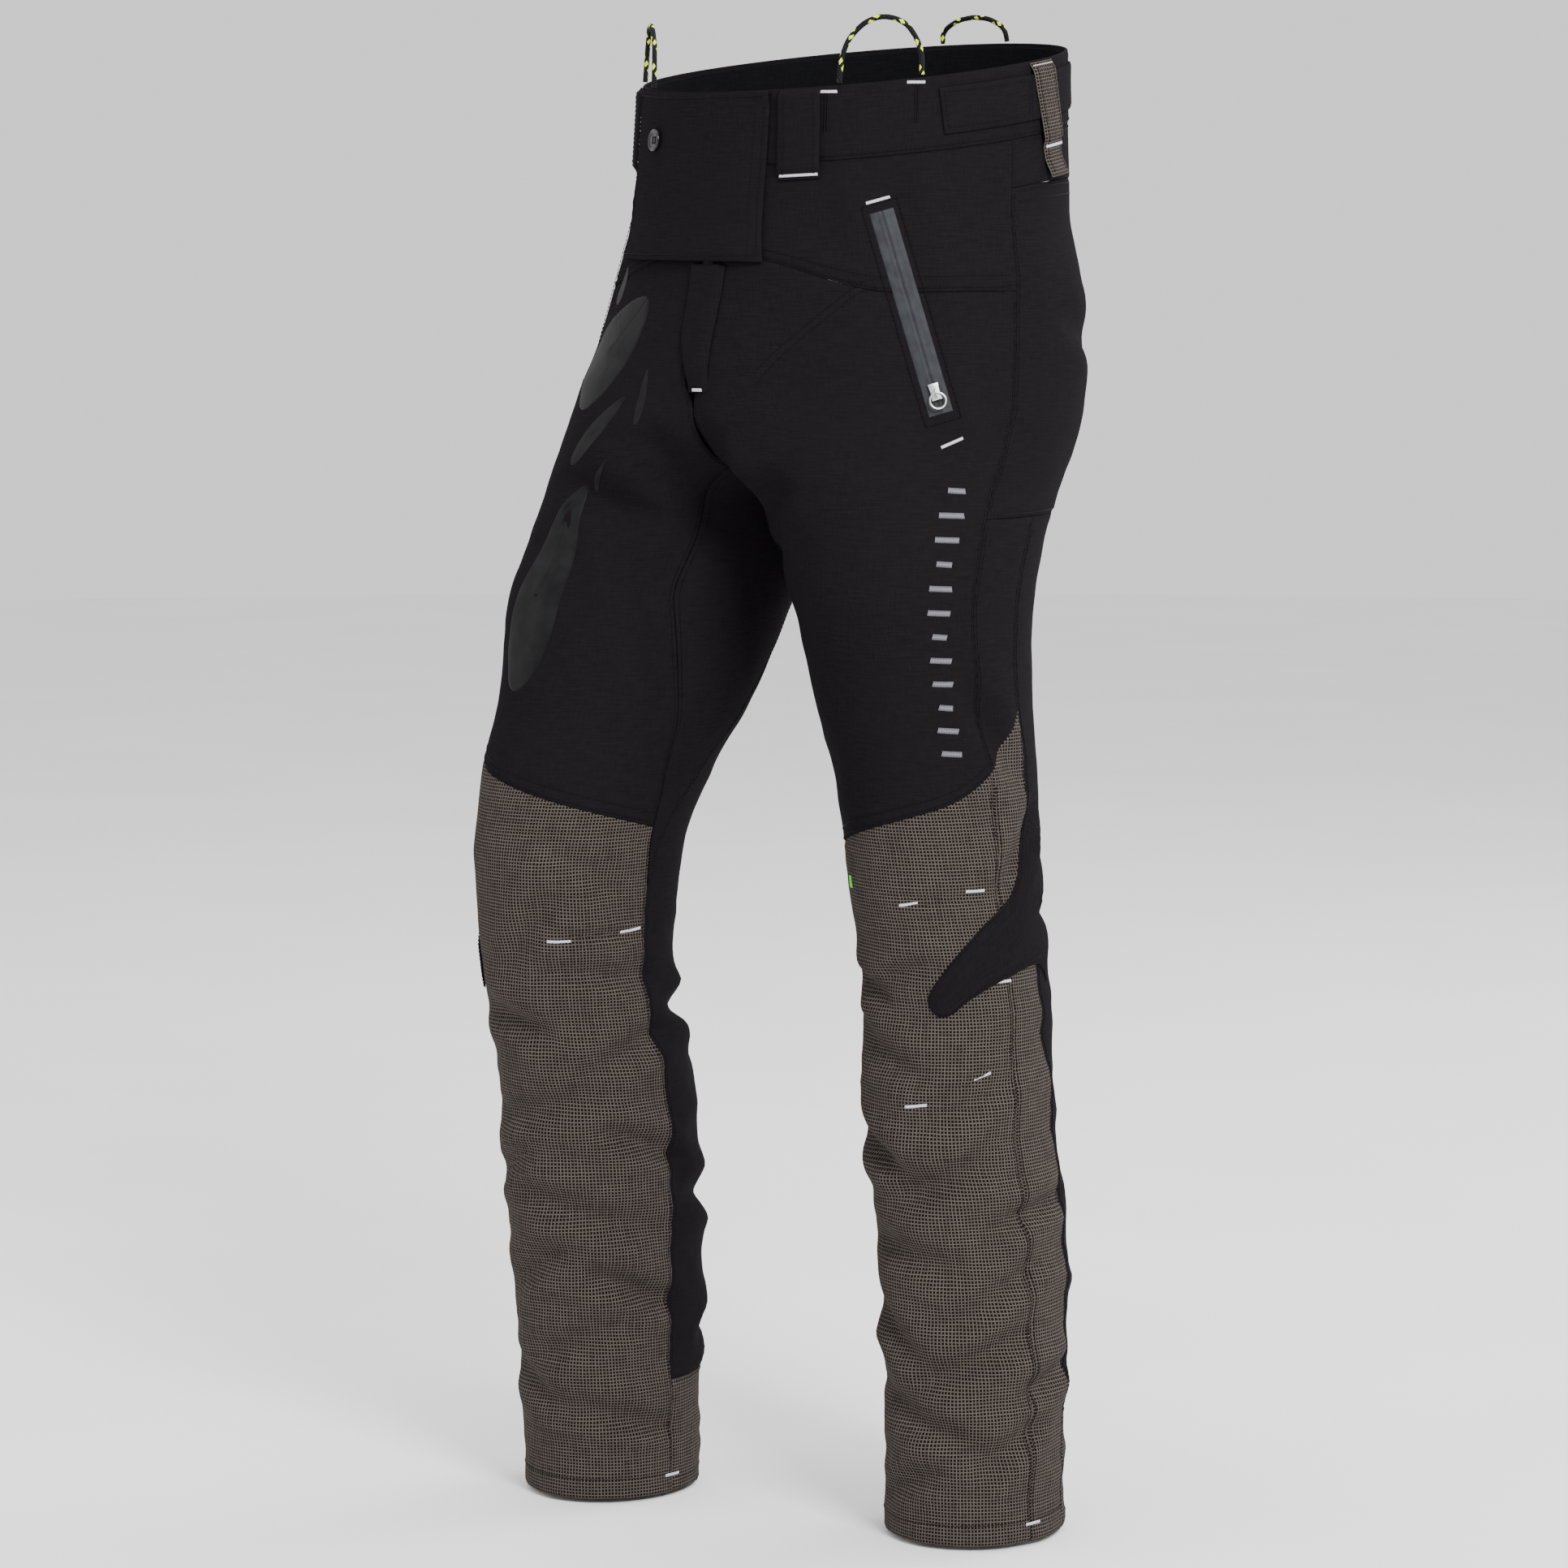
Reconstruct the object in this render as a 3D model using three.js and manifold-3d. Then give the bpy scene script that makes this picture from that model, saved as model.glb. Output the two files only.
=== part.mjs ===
// Chainsaw protective trousers: sewn panels, inner protective packs, zips, waist closure and straps.
// Millimetres, +Z up. The origin is the centre of the waist opening; the front faces -Y and the
// wearer's left is +X. The right leg stands a step forward of the left one.
import * as THREE from "three";
import { mergeVertices } from "three/addons/utils/BufferGeometryUtils.js";
import Module from "manifold-3d";

const wasm = await Module();
wasm.setup();

// ---- Driving dimensions -------------------------------------------------------------------
const rise = 305; // waist opening down to the crotch
const thighDrop = 360; // crotch down to the knee axis
const shinDrop = 390; // knee axis down to the hem
const waistTilt = 20; // how far the rear of the waist stands above its centre, and the front below
const bandHeight = 52;
const waistWidth = 172; // half widths and half depths of the body's sections
const waistDepth = 133;
const hipWidth = 172;
const hipDepth = 147;
const thighWidth = 92;
const thighDepth = 108;
const kneeWidth = 64;
const kneeDepth = 73;
const hemWidth = 63;
const hemDepth = 69;
const legGap = 6; // half the gap between the thighs just below the crotch
const kneeSpread = 126; // the leg's centre from the middle plane, at the knee and at the hem
const hemSpread = 142;
const cloth = 1.6; // thickness of the outer cloth with its seam allowance
const seamGap = 1.2; // gap left between two panels that are sewn together
const layerGap = 0.8; // gap between a piece and what lies on it
const sideSeam = -6; // angle of the outer seam round the leg, 0 being the outer side
const rearSeam = 22; // angle of the seam between the side strip and the back panel
const calfSeam = 40; // the same below the knee ring
const kneeRing = 48; // height of the soft knee ring above and below the knee axis
const calfEnd = 304; // knee axis down to the end of the black calf panel
const packThickness = 5;
const packInset = 12.5; // how far behind the outer face the pack's own outer face lies
const packTop = -150;
const packMargin = 10; // degrees from the fly to the pack's edge
const packGap = 4; // from the knee ring to each pack
const zipLength = 148;
const zipWidth = 17.6;
const zipTop = { angle: -44, z: -104 }; // where the pocket zip's middle line starts and ends
const zipBottom = { angle: -30, z: -245 };
const zipWindowGap = 0.8;
const zipSink = 0.6; // how far its tape lies below the outer face
const flySlot = 12.5; // half the width of the fly opening
const flyLength = 146;
const flapWidth = 52; // degrees round the waist
const flapDrop = 120;
const flapLift = 4; // height of the flap's underside over the band
const flapThickness = 2;
const hingeAngle = 15.5; // where round the front the flap is sewn on
const loopWidth = 11; // degrees round the waist
const loopLift = 3.4;
const loopThickness = 1.6;
const tabStart = 60; // degrees round the waist, for the waist adjuster's free end and its hinge
const tabEnd = 91;
const strapEnd = 128;
const tabHeight = 32;
const tabThickness = 2;
const buttonRadius = 8;
const cordDiameter = 3.7;
const cordSides = 8;

const kneeZ = -(rise + thighDrop);
const crotchZ = -rise;
const hemZ = kneeZ - shinDrop;

// ---- The body's surface -------------------------------------------------------------------
// Each section is an ellipse round the leg's centre. Above the crotch the two ellipses are cut
// where they meet, in the middle plane. spread is the centre's distance from that plane, forward
// the mean offset along Y, step the half step between the legs, lean the skew of the section.
const sectionAt = (at, spread, forward, step, width, depth, lean = 0) => ({
  at, spread, forward, step, width, depth, lean,
});
const sections = [
  sectionAt(40, 0, 0, 0, waistWidth, waistDepth),
  sectionAt(0, 0, 0, 0, waistWidth, waistDepth),
  sectionAt(-0.34 * rise, 0, -2, 0, hipWidth + 2, hipDepth - 7),
  sectionAt(-0.49 * rise, 8, -4, 2, hipWidth, hipDepth),
  sectionAt(-0.65 * rise, 20, -13, 9, hipWidth - 9, hipDepth + 2),
  sectionAt(-0.8 * rise, 45, -25, 17, hipWidth - 33, hipDepth - 3),
  sectionAt(-0.91 * rise, 71, -36, 18, hipWidth - 58, hipDepth - 13, 4),
  sectionAt(crotchZ, thighWidth + 1.5, -48, 19, thighWidth + 1, thighDepth + 12, 9),
  sectionAt(crotchZ - 0.1 * thighDrop, thighWidth + legGap, -60, 24, thighWidth, thighDepth, 18),
  sectionAt(crotchZ - 0.22 * thighDrop, 103, -73, 32, thighWidth - 4, thighDepth - 8, 22),
  sectionAt(crotchZ - 0.42 * thighDrop, 106, -80, 47, thighWidth - 12, thighDepth - 18, 17),
  sectionAt(crotchZ - 0.58 * thighDrop, 111, -90, 64, kneeWidth + 10, kneeDepth + 10, 11),
  sectionAt(crotchZ - 0.75 * thighDrop, 117, -96, 71, kneeWidth + 4, kneeDepth + 5, 6),
  sectionAt(kneeZ, kneeSpread, -89, 69, kneeWidth, kneeDepth, 3),
  sectionAt(kneeZ - 0.25 * shinDrop, kneeSpread + 5, -77, 57, kneeWidth + 2, kneeDepth + 4, 3),
  sectionAt(kneeZ - 0.55 * shinDrop, hemSpread - 5, -66, 55, hemWidth + 1, hemDepth + 6, 2),
  sectionAt(hemZ, hemSpread, -64, 48, hemWidth, hemDepth),
  sectionAt(hemZ - 60, hemSpread, -64, 48, hemWidth, hemDepth),
];

const radians = THREE.MathUtils.degToRad;
const degrees = THREE.MathUtils.radToDeg;
const clamp = THREE.MathUtils.clamp;
const mix = THREE.MathUtils.lerp;

// A smooth curve through one value of the sections, without overshoot.
function slope(i, key) {
  if (i === 0 || i === sections.length - 1) return 0;
  const before = (sections[i][key] - sections[i - 1][key]) / (sections[i].at - sections[i - 1].at);
  const after = (sections[i + 1][key] - sections[i][key]) / (sections[i + 1].at - sections[i].at);
  return before * after <= 0 ? 0 : (2 * before * after) / (before + after);
}

const sectionKeys = ["spread", "forward", "step", "width", "depth", "lean"];
const slopes = sections.map((_, i) => Object.fromEntries(sectionKeys.map((key) => [key, slope(i, key)])));

function section(z) {
  let i = 0;
  while (i < sections.length - 2 && z < sections[i + 1].at) i += 1;
  const [a, b] = [sections[i], sections[i + 1]];
  const span = b.at - a.at;
  const t = clamp((z - a.at) / span, 0, 1);
  const found = {};
  for (const key of sectionKeys) {
    found[key] =
      a[key] * (1 + 2 * t) * (1 - t) ** 2 +
      b[key] * (3 - 2 * t) * t ** 2 +
      span * (slopes[i][key] * t * (1 - t) ** 2 - slopes[i + 1][key] * (1 - t) * t ** 2);
  }
  return found;
}

const smooth = (t) => clamp(t, 0, 1) ** 2 * (3 - 2 * clamp(t, 0, 1));

// A point on the outer face. side is 1 for the wearer's left and -1 for the right; angle runs from
// -90 at the front over 0 at the outer side to 90 at the back and 180 between the legs.
function onSkin(side, angle, z) {
  const s = section(z);
  const x = s.spread + s.width * Math.cos(radians(angle));
  const below = smooth((crotchZ - z) / 80);
  const share = mix(smooth(Math.abs(x) / 90), 1, below);
  const y = s.forward + s.depth * Math.sin(radians(angle)) - s.lean * Math.cos(radians(angle));
  return new THREE.Vector3(side * x, y + side * s.step * share, z);
}

function skinNormal(side, angle, z) {
  const round = onSkin(side, angle + 0.5, z).sub(onSkin(side, angle - 0.5, z));
  const up = onSkin(side, angle, z + 1).sub(onSkin(side, angle, z - 1));
  return round.cross(up).normalize().multiplyScalar(side);
}

// The outer face moved out by lift, and kept on its own side of the middle plane.
function skin(side, angle, z, lift = 0) {
  const point = onSkin(side, angle, z).addScaledVector(skinNormal(side, angle, z), lift);
  const nearest = z > crotchZ - 60 ? seamGap / 2 : 0;
  if (side * point.x < nearest) point.x = side * nearest;
  return point;
}

// The same surface round the trunk: 0 at the front, 90 at the wearer's left, 180 at the back.
function trunk(angle, z, lift = 0) {
  const turn = THREE.MathUtils.euclideanModulo(angle + 180, 360) - 180;
  return turn >= 0 ? skin(1, turn - 90, z, lift) : skin(-1, -turn - 90, z, lift);
}

// ---- Closed shells --------------------------------------------------------------------------
function geometryOf(points, triangles) {
  const geometry = new THREE.BufferGeometry();
  const numbers = points.flatMap((point) => point.toArray());
  geometry.setAttribute("position", new THREE.Float32BufferAttribute(numbers, 3));
  geometry.setIndex(triangles.flat());
  geometry.computeVertexNormals();
  return geometry;
}

// A closed sheet between two grids of points; place(s, t, face) gives a point, with s across, t
// down and face 0 on the outer face or 1 on the inner one. turned says that s runs clockwise.
function sheet(columns, rows, place, turned = false) {
  const points = [];
  for (const face of [0, 1]) {
    for (let j = 0; j <= rows; j += 1) {
      for (let i = 0; i <= columns; i += 1) points.push(place(i / columns, j / rows, face));
    }
  }
  const half = (columns + 1) * (rows + 1);
  const at = (i, j, face) => face * half + j * (columns + 1) + i;
  const triangles = [];
  const quad = (a, b, c, d) => triangles.push([a, b, c], [a, c, d]);
  for (let j = 0; j < rows; j += 1) {
    for (let i = 0; i < columns; i += 1) {
      quad(at(i, j, 0), at(i, j + 1, 0), at(i + 1, j + 1, 0), at(i + 1, j, 0));
      quad(at(i, j, 1), at(i + 1, j, 1), at(i + 1, j + 1, 1), at(i, j + 1, 1));
    }
    quad(at(0, j, 0), at(0, j, 1), at(0, j + 1, 1), at(0, j + 1, 0));
    quad(at(columns, j, 0), at(columns, j + 1, 0), at(columns, j + 1, 1), at(columns, j, 1));
  }
  for (let i = 0; i < columns; i += 1) {
    quad(at(i, 0, 0), at(i + 1, 0, 0), at(i + 1, 0, 1), at(i, 0, 1));
    quad(at(i, rows, 0), at(i, rows, 1), at(i + 1, rows, 1), at(i + 1, rows, 0));
  }
  return geometryOf(points, turned ? triangles.map(([a, b, c]) => [a, c, b]) : triangles);
}

// A panel of one leg, between two edges round the leg and two down it. Each edge is a number or a
// function: from and to give angles by height, top and bottom give heights by angle.
const value = (edge, at) => (typeof edge === "function" ? edge(at) : edge);

function place(shape, s, t) {
  let [angle, z] = [(value(shape.from, kneeZ) + value(shape.to, kneeZ)) / 2, kneeZ];
  for (let pass = 0; pass < 60; pass += 1) {
    const inset = degrees(seamGap / 2 / section(z).width);
    const aimed = mix(value(shape.from, z) + inset, value(shape.to, z) - inset, s);
    angle = mix(angle, aimed, 0.7);
    const [high, low] = [value(shape.top, angle) - seamGap / 2, value(shape.bottom, angle) + seamGap / 2];
    z = mix(z, mix(high, low, t), 0.7);
  }
  return [angle, z];
}

function panel(side, shape) {
  const [inner, outer] = shape.lift ?? [-cloth, 0];
  const put = (s, t, face) => {
    const [angle, z] = place(shape, s, t);
    return skin(side, angle, z, face ? inner : outer);
  };
  return sheet(shape.columns, shape.rows, put, side < 0);
}

// The same round the trunk.
function band(shape) {
  const [inner, outer] = shape.lift ?? [-cloth, 0];
  const put = (s, t, face) => {
    const [angle, z] = place(shape, s, t);
    const raised = shape.raised ? shape.raised(t) : 0;
    return trunk(angle, z, (face ? inner : outer) + raised);
  };
  return sheet(shape.columns, shape.rows, put);
}

// A box by its size along three unit directions, as a geometry.
function boxAlong(centre, across, along, out, size) {
  const geometry = new THREE.BoxGeometry(...size);
  const frame = new THREE.Matrix4().makeBasis(across, along, out).setPosition(centre);
  return geometry.applyMatrix4(frame);
}

// ---- Cutting and joining --------------------------------------------------------------------
function solidOf(geometry) {
  const bare = geometry.clone();
  bare.deleteAttribute("normal");
  bare.deleteAttribute("uv");
  const merged = mergeVertices(bare, 1e-4);
  return new wasm.Manifold(
    new wasm.Mesh({
      numProp: 3,
      vertProperties: new Float32Array(merged.attributes.position.array),
      triVerts: new Uint32Array(merged.index.array),
    }),
  );
}

function geometryFrom(solid) {
  const mesh = solid.getMesh();
  const geometry = new THREE.BufferGeometry();
  geometry.setAttribute("position", new THREE.BufferAttribute(new Float32Array(mesh.vertProperties), 3));
  geometry.setIndex(new THREE.BufferAttribute(new Uint32Array(mesh.triVerts), 1));
  geometry.computeVertexNormals();
  return geometry;
}

const cut = (geometry, ...tools) =>
  geometryFrom(tools.reduce((solid, tool) => solid.subtract(solidOf(tool)), solidOf(geometry)));
const join = (geometry, ...others) =>
  geometryFrom(others.reduce((solid, other) => solid.add(solidOf(other)), solidOf(geometry)));

// ---- Materials and the assembly ---------------------------------------------------------------
const finishes = {
  stretchCloth: { color: 0x121114, roughness: 0.92, metalness: 0 },
  gridCloth: { color: 0x57504b, roughness: 0.9, metalness: 0 },
  pack: { color: 0xd8d6cf, roughness: 0.95, metalness: 0 },
  lining: { color: 0x1b1b1e, roughness: 0.9, metalness: 0 },
  zipTape: { color: 0x2f3236, roughness: 0.5, metalness: 0 },
  metal: { color: 0xb9bcc0, roughness: 0.3, metalness: 1 },
  button: { color: 0x0b0b0c, roughness: 0.2, metalness: 0 },
  cord: { color: 0x15161a, roughness: 0.8, metalness: 0 },
};

const trousers = new THREE.Group();

function add(name, geometry, finish, parent = trousers) {
  const mesh = new THREE.Mesh(geometry, new THREE.MeshStandardMaterial(finishes[finish]));
  mesh.name = name;
  parent.add(mesh);
  return mesh;
}

const sides = [
  ["left", 1],
  ["right", -1],
];

// ---- Seams --------------------------------------------------------------------------------
const bandTop = (angle) => -waistTilt * Math.cos(radians(angle));
const bandBottom = (angle) => bandTop(angle) - bandHeight;
const legAngle = (angle) => angle + 90; // a leg's angle as the trunk's angle

// The angle at which a leg's section reaches a given distance from the middle plane.
function angleAt(z, fromMiddle) {
  const s = section(z);
  return degrees(Math.acos(clamp((fromMiddle - s.spread) / s.width, -1, 1)));
}

const flyTop = -(waistTilt + bandHeight) - 1;
const flyBottom = flyTop - flyLength;
const flyEdge = (z) => mix(flySlot, seamGap / 2, smooth((flyBottom - 4 - z) / 20));
const gussetStart = -0.89 * rise;
const gussetWidest = crotchZ - 30;
const gussetPoint = crotchZ - 0.82 * thighDrop; // where its two seams meet
const gussetEnd = mix(gussetWidest, gussetPoint, 0.87); // where the gusset's own piece ends
const gussetEase = 0.6; // degrees more gap along the gusset's two curved seams
const inseam = 177;

// How far the gusset's two seams stand from the inseam, in degrees.
const gussetSpread = (z) => 45 * (1 - smooth((gussetWidest - z) / (gussetWidest - gussetPoint)));
const riseAngle = (z) => angleAt(z, seamGap / 2);
const gussetFront = (z) => inseam - 360 + gussetSpread(z);
const gussetBack = (z) => inseam - gussetSpread(z);
const frontEdge = (z) => {
  const fly = -angleAt(z, flyEdge(z));
  return z > gussetStart ? fly : Math.max(fly, gussetFront(z));
};
const backEdge = (z) => (z > gussetStart ? riseAngle(z) : Math.min(riseAngle(z), gussetBack(z)));

// The crotch curve seen the other way: the height at which the rise passes an angle.
function riseHeight(angle) {
  const turn = Math.min(Math.abs(angle), 360 - Math.abs(angle));
  let [high, low] = [gussetStart + 60, crotchZ];
  for (let pass = 0; pass < 30; pass += 1) {
    const middle = (high + low) / 2;
    if (riseAngle(middle) < turn) high = middle;
    else low = middle;
  }
  return low;
}

const frontYokeSeam = (angle) => mix(-136, -160, smooth((legAngle(angle) - 8) / 40));
const backYokeSeam = (angle) => bandBottom(legAngle(angle)) - mix(34, 52, smooth(angle / 90));
const seatEnd = crotchZ - 14;

// The seam above the knee climbs slowly round the front and steeply at the outer side. The leg that
// stands forward carries it higher.
const kneeSeamOf = (side) => (angle) =>
  kneeZ + (side > 0 ? 96 : 120) + 0.35 * (angle + 170) + 85 * smooth((angle + 45) / 110) ** 1.5;
const ringTop = kneeZ + kneeRing;
const ringBottom = kneeZ - kneeRing;

// ---- Panels of the two legs -------------------------------------------------------------------
// The black tongue that reaches from the knee's back over its outer side, joined to that panel.
const tongueOutline = [
  { angle: 36, high: 42, low: 10 }, // heights of its two edges above the knee axis
  { angle: 24, high: 84, low: 24 },
  { angle: 12, high: 84, low: 25 },
  { angle: 0, high: 72, low: 22 },
  { angle: -16, high: 60, low: 16 },
  { angle: -34, high: 42, low: 5 },
  { angle: -48, high: 25, low: -7 },
  { angle: -55, high: 15, low: -6 },
  { angle: -59, high: 6, low: 0 },
];

function kneeTongue(side) {
  const spans = tongueOutline.length - 1;
  const put = (s, t, face) => {
    const i = Math.min(Math.floor(s * spans), spans - 1);
    const [here, next] = [tongueOutline[i], tongueOutline[i + 1]];
    const along = (key) => mix(here[key], next[key], s * spans - i);
    const lift = s < 0.05 ? -0.4 : layerGap + 0.4;
    const z = kneeZ + mix(along("high"), along("low"), t);
    return skin(side, along("angle"), z, face ? lift - 0.4 : lift + cloth);
  };
  return sheet(2 * spans, 4, put, side > 0);
}

for (const [name, side] of sides) {
  const kneeSeam = kneeSeamOf(side);
  const addPanel = (part, finish, shape) => add(`${part}_${name}`, panel(side, shape), finish);
  const addOpened = (part, finish, shape) => {
    add(`${part}_${name}`, pocketWindow(side, panel(side, shape)), finish);
  };
  addOpened("front_yoke", "stretchCloth", {
    from: (z) => -angleAt(z, flySlot), to: sideSeam,
    top: (angle) => bandBottom(legAngle(angle)), bottom: frontYokeSeam,
    columns: 9, rows: 5,
  });
  addOpened("front_thigh", "stretchCloth", {
    from: frontEdge, to: sideSeam, top: frontYokeSeam, bottom: kneeSeam, columns: 14, rows: 20,
  });
  addPanel("inner_gusset", "stretchCloth", {
    from: (z) => gussetBack(z) - 360 + gussetEase, to: (z) => gussetFront(z) - gussetEase,
    top: (angle) => riseHeight(angle) - 2, bottom: gussetEnd,
    columns: 8, rows: 10,
  });
  addPanel("seat", "stretchCloth", {
    from: sideSeam, to: backEdge, top: backYokeSeam, bottom: seatEnd, columns: 14, rows: 10,
  });
  addPanel("side_thigh", "stretchCloth", {
    from: sideSeam, to: rearSeam, top: seatEnd, bottom: kneeSeam, columns: 3, rows: 9,
  });
  addPanel("back_thigh", "stretchCloth", {
    from: rearSeam, to: gussetBack, top: seatEnd, bottom: ringTop, columns: 10, rows: 12,
  });
  addPanel("knee_panel", "gridCloth", {
    from: gussetFront, to: sideSeam, top: kneeSeam, bottom: ringBottom, columns: 14, rows: 9,
  });
  addPanel("knee_side", "gridCloth", {
    from: sideSeam, to: rearSeam, top: kneeSeam, bottom: ringBottom, columns: 3, rows: 9,
  });
  const kneeBack = panel(side, {
    from: rearSeam, to: inseam, top: ringTop, bottom: ringBottom, columns: 10, rows: 4,
  });
  add(`knee_back_${name}`, join(kneeBack, kneeTongue(side)), "stretchCloth");
  addPanel("shin_panel", "gridCloth", {
    from: inseam - 360, to: sideSeam, top: ringBottom, bottom: hemZ, columns: 14, rows: 9,
  });
  addPanel("side_shin", "gridCloth", {
    from: sideSeam, to: calfSeam, top: ringBottom, bottom: hemZ, columns: 4, rows: 9,
  });
  const calf = { from: calfSeam, to: inseam, columns: 10 };
  addPanel("calf_panel", "stretchCloth", { ...calf, top: ringBottom, bottom: kneeZ - calfEnd, rows: 6 });
  addPanel("heel_panel", "gridCloth", { ...calf, top: kneeZ - calfEnd, bottom: hemZ, rows: 4 });

  const lift = [-packInset - packThickness, -packInset];
  addPanel("thigh_pack", "pack", {
    from: (z) => Math.max(frontEdge(z) + packMargin, -150), to: 0,
    top: packTop, bottom: ringTop + packGap,
    columns: 14, rows: 20, lift,
  });
  addPanel("shin_pack", "pack", {
    from: -172, to: 0, top: ringBottom - packGap, bottom: hemZ + 50, columns: 11, rows: 6, lift,
  });
}

// ---- Pocket zips ----------------------------------------------------------------------------
function zipFrame(side) {
  const high = skin(side, zipTop.angle, zipTop.z, -zipSink);
  const low = skin(side, zipBottom.angle, zipBottom.z, -zipSink);
  const along = low.clone().sub(high).normalize();
  const middle = high.clone().add(low).multiplyScalar(0.5);
  const facing = skinNormal(side, mix(zipTop.angle, zipBottom.angle, 0.5), mix(zipTop.z, zipBottom.z, 0.5));
  const across = along.clone().cross(facing).normalize();
  const out = across.clone().cross(along).normalize();
  return { along, across, out, middle };
}

function pocketWindow(side, geometry) {
  const { along, across, out, middle } = zipFrame(side);
  const size = [zipWidth + 2 * zipWindowGap, zipLength + 2 * zipWindowGap, 40];
  return cut(geometry, boxAlong(middle, across, along, out, size));
}

// A slider with a staple on its back, sliding along the frame's long direction.
const sliderSize = { width: 8, length: 12, height: 2.4 };
const staple = { length: 6, height: 3.6, width: 2, wall: 0.9 };

function sliderOn(frame, along) {
  const { width, length, height } = sliderSize;
  const seat = frame.middle.clone().addScaledVector(frame.along, along);
  const put = (back, up, size) => {
    const centre = seat.clone().addScaledVector(frame.along, back).addScaledVector(frame.out, up);
    return boxAlong(centre, frame.across, frame.along, frame.out, size);
  };
  const base = tapeHalf + 0.4;
  const body = put(0, base + height / 2, [width, length, height]);
  const lift = base + height;
  const arch = put(1, lift + staple.height / 2 - 0.05, [staple.width, staple.length, staple.height]);
  const hole = put(1, lift + staple.height / 2 - staple.wall / 2, [
    staple.width + 2,
    staple.length - 2 * staple.wall,
    staple.height - staple.wall,
  ]);
  return { geometry: join(cut(arch, hole), body), wire: lift + (staple.height - staple.wall) / 2 + 0.1 };
}

const tapeHalf = 0.5;
const ringRadius = 5.6;
const ringWire = 0.8;
const sliderRest = 16; // from the zip's lower end up to the slider
const bagShape = { from: -50, to: -10, top: -100, bottom: -285, columns: 5, rows: 8, lift: [-8.6, -7.4] };

for (const [name, side] of sides) {
  const frame = zipFrame(side);
  const size = [zipWidth, zipLength, 2 * tapeHalf];
  add(`pocket_zip_${name}`, boxAlong(frame.middle, frame.across, frame.along, frame.out, size), "zipTape");
  const rest = zipLength / 2 - sliderRest;
  const { geometry, wire } = sliderOn(frame, rest);
  add(`pocket_slider_${name}`, geometry, "metal");
  const ring = new THREE.TorusGeometry(ringRadius, ringWire, 8, 20);
  const centre = frame.middle
    .clone()
    .addScaledVector(frame.along, rest + 1 + ringRadius)
    .addScaledVector(frame.out, wire);
  const turn = new THREE.Matrix4().makeBasis(frame.across, frame.along, frame.out);
  const pull = add(`pull_ring_${name}`, ring, "metal");
  pull.position.copy(centre);
  pull.quaternion.setFromRotationMatrix(turn);
  add(
    `pocket_bag_${name}`,
    panel(side, bagShape),
    "lining",
  );
}

// ---- Fly --------------------------------------------------------------------------------------
// A point of the front surface by its distance from the middle plane.
function atMiddle(x, z, lift) {
  const side = x < 0 ? -1 : 1;
  return skin(side, -angleAt(z, Math.max(Math.abs(x), seamGap)), z, lift);
}

const flyHigh = onSkin(1, -90, flyTop);
const flyLow = atMiddle(1, flyBottom, 0).add(atMiddle(-1, flyBottom, 0)).multiplyScalar(0.5);
flyHigh.x = 0;
flyLow.x = 0;
const flyAlong = flyLow.clone().sub(flyHigh).normalize();
const flyAcross = new THREE.Vector3(-1, 0, 0);
const flyFrame = {
  along: flyAlong,
  across: flyAcross,
  out: flyAcross.clone().cross(flyAlong).normalize(),
  middle: flyHigh.clone().add(flyLow).multiplyScalar(0.5),
};
flyFrame.middle.addScaledVector(flyFrame.out, -cloth);
const flyTape = [2 * flySlot - 2, flyLength - 2, 2 * tapeHalf];
add("fly_zip_tape", boxAlong(flyFrame.middle, flyAcross, flyAlong, flyFrame.out, flyTape), "zipTape");
const flySeat = flyFrame.middle.clone().addScaledVector(flyAlong, 10 - flyLength / 2);
const flyBody = flySeat.clone().addScaledVector(flyFrame.out, tapeHalf + 1.4);
const flyTab = flyBody.clone().addScaledVector(flyAlong, 8).addScaledVector(flyFrame.out, 1.2);
add(
  "fly_zip_slider",
  join(
    boxAlong(flyBody, flyAcross, flyAlong, flyFrame.out, [8, 12, 2]),
    boxAlong(flyTab, flyAcross, flyAlong, flyFrame.out, [5, 18, 0.8]),
  ),
  "metal",
);

// The placket covers the fly zip.
const flapEnd = -(waistTilt + flapDrop);
const placket = { inner: -9, outer: 17, top: flapEnd - 2, bottom: flapEnd - 92 };
const placketFace = [flapLift + 1.2, flapLift];
add(
  "fly_placket",
  sheet(4, 8, (s, t, face) =>
    atMiddle(mix(placket.inner, placket.outer, s), mix(placket.top, placket.bottom, t), placketFace[face]),
  ),
  "stretchCloth",
);

// ---- Waist ----------------------------------------------------------------------------------
const bandShape = { top: bandTop, bottom: bandBottom, rows: 4 };
add("waistband_left", band({ ...bandShape, from: hingeAngle - 1, to: 180, columns: 26 }), "stretchCloth");
add("waistband_right", band({ ...bandShape, from: -180, to: hingeAngle - 1, columns: 32 }), "stretchCloth");
add(
  "waistband_facing",
  band({
    from: hingeAngle + 5,
    to: 340,
    top: (angle) => bandTop(angle) - 3,
    bottom: (angle) => bandBottom(angle) + 2,
    columns: 52,
    rows: 4,
    lift: [-cloth - layerGap - 1.4, -cloth - layerGap],
  }),
  "lining",
);
add(
  "back_yoke",
  band({
    from: legAngle(sideSeam),
    to: 360 - legAngle(sideSeam),
    top: bandBottom,
    bottom: (angle) => backYokeSeam((angle < 180 ? angle : 360 - angle) - 90),
    columns: 18,
    rows: 3,
  }),
  "stretchCloth",
);

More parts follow.
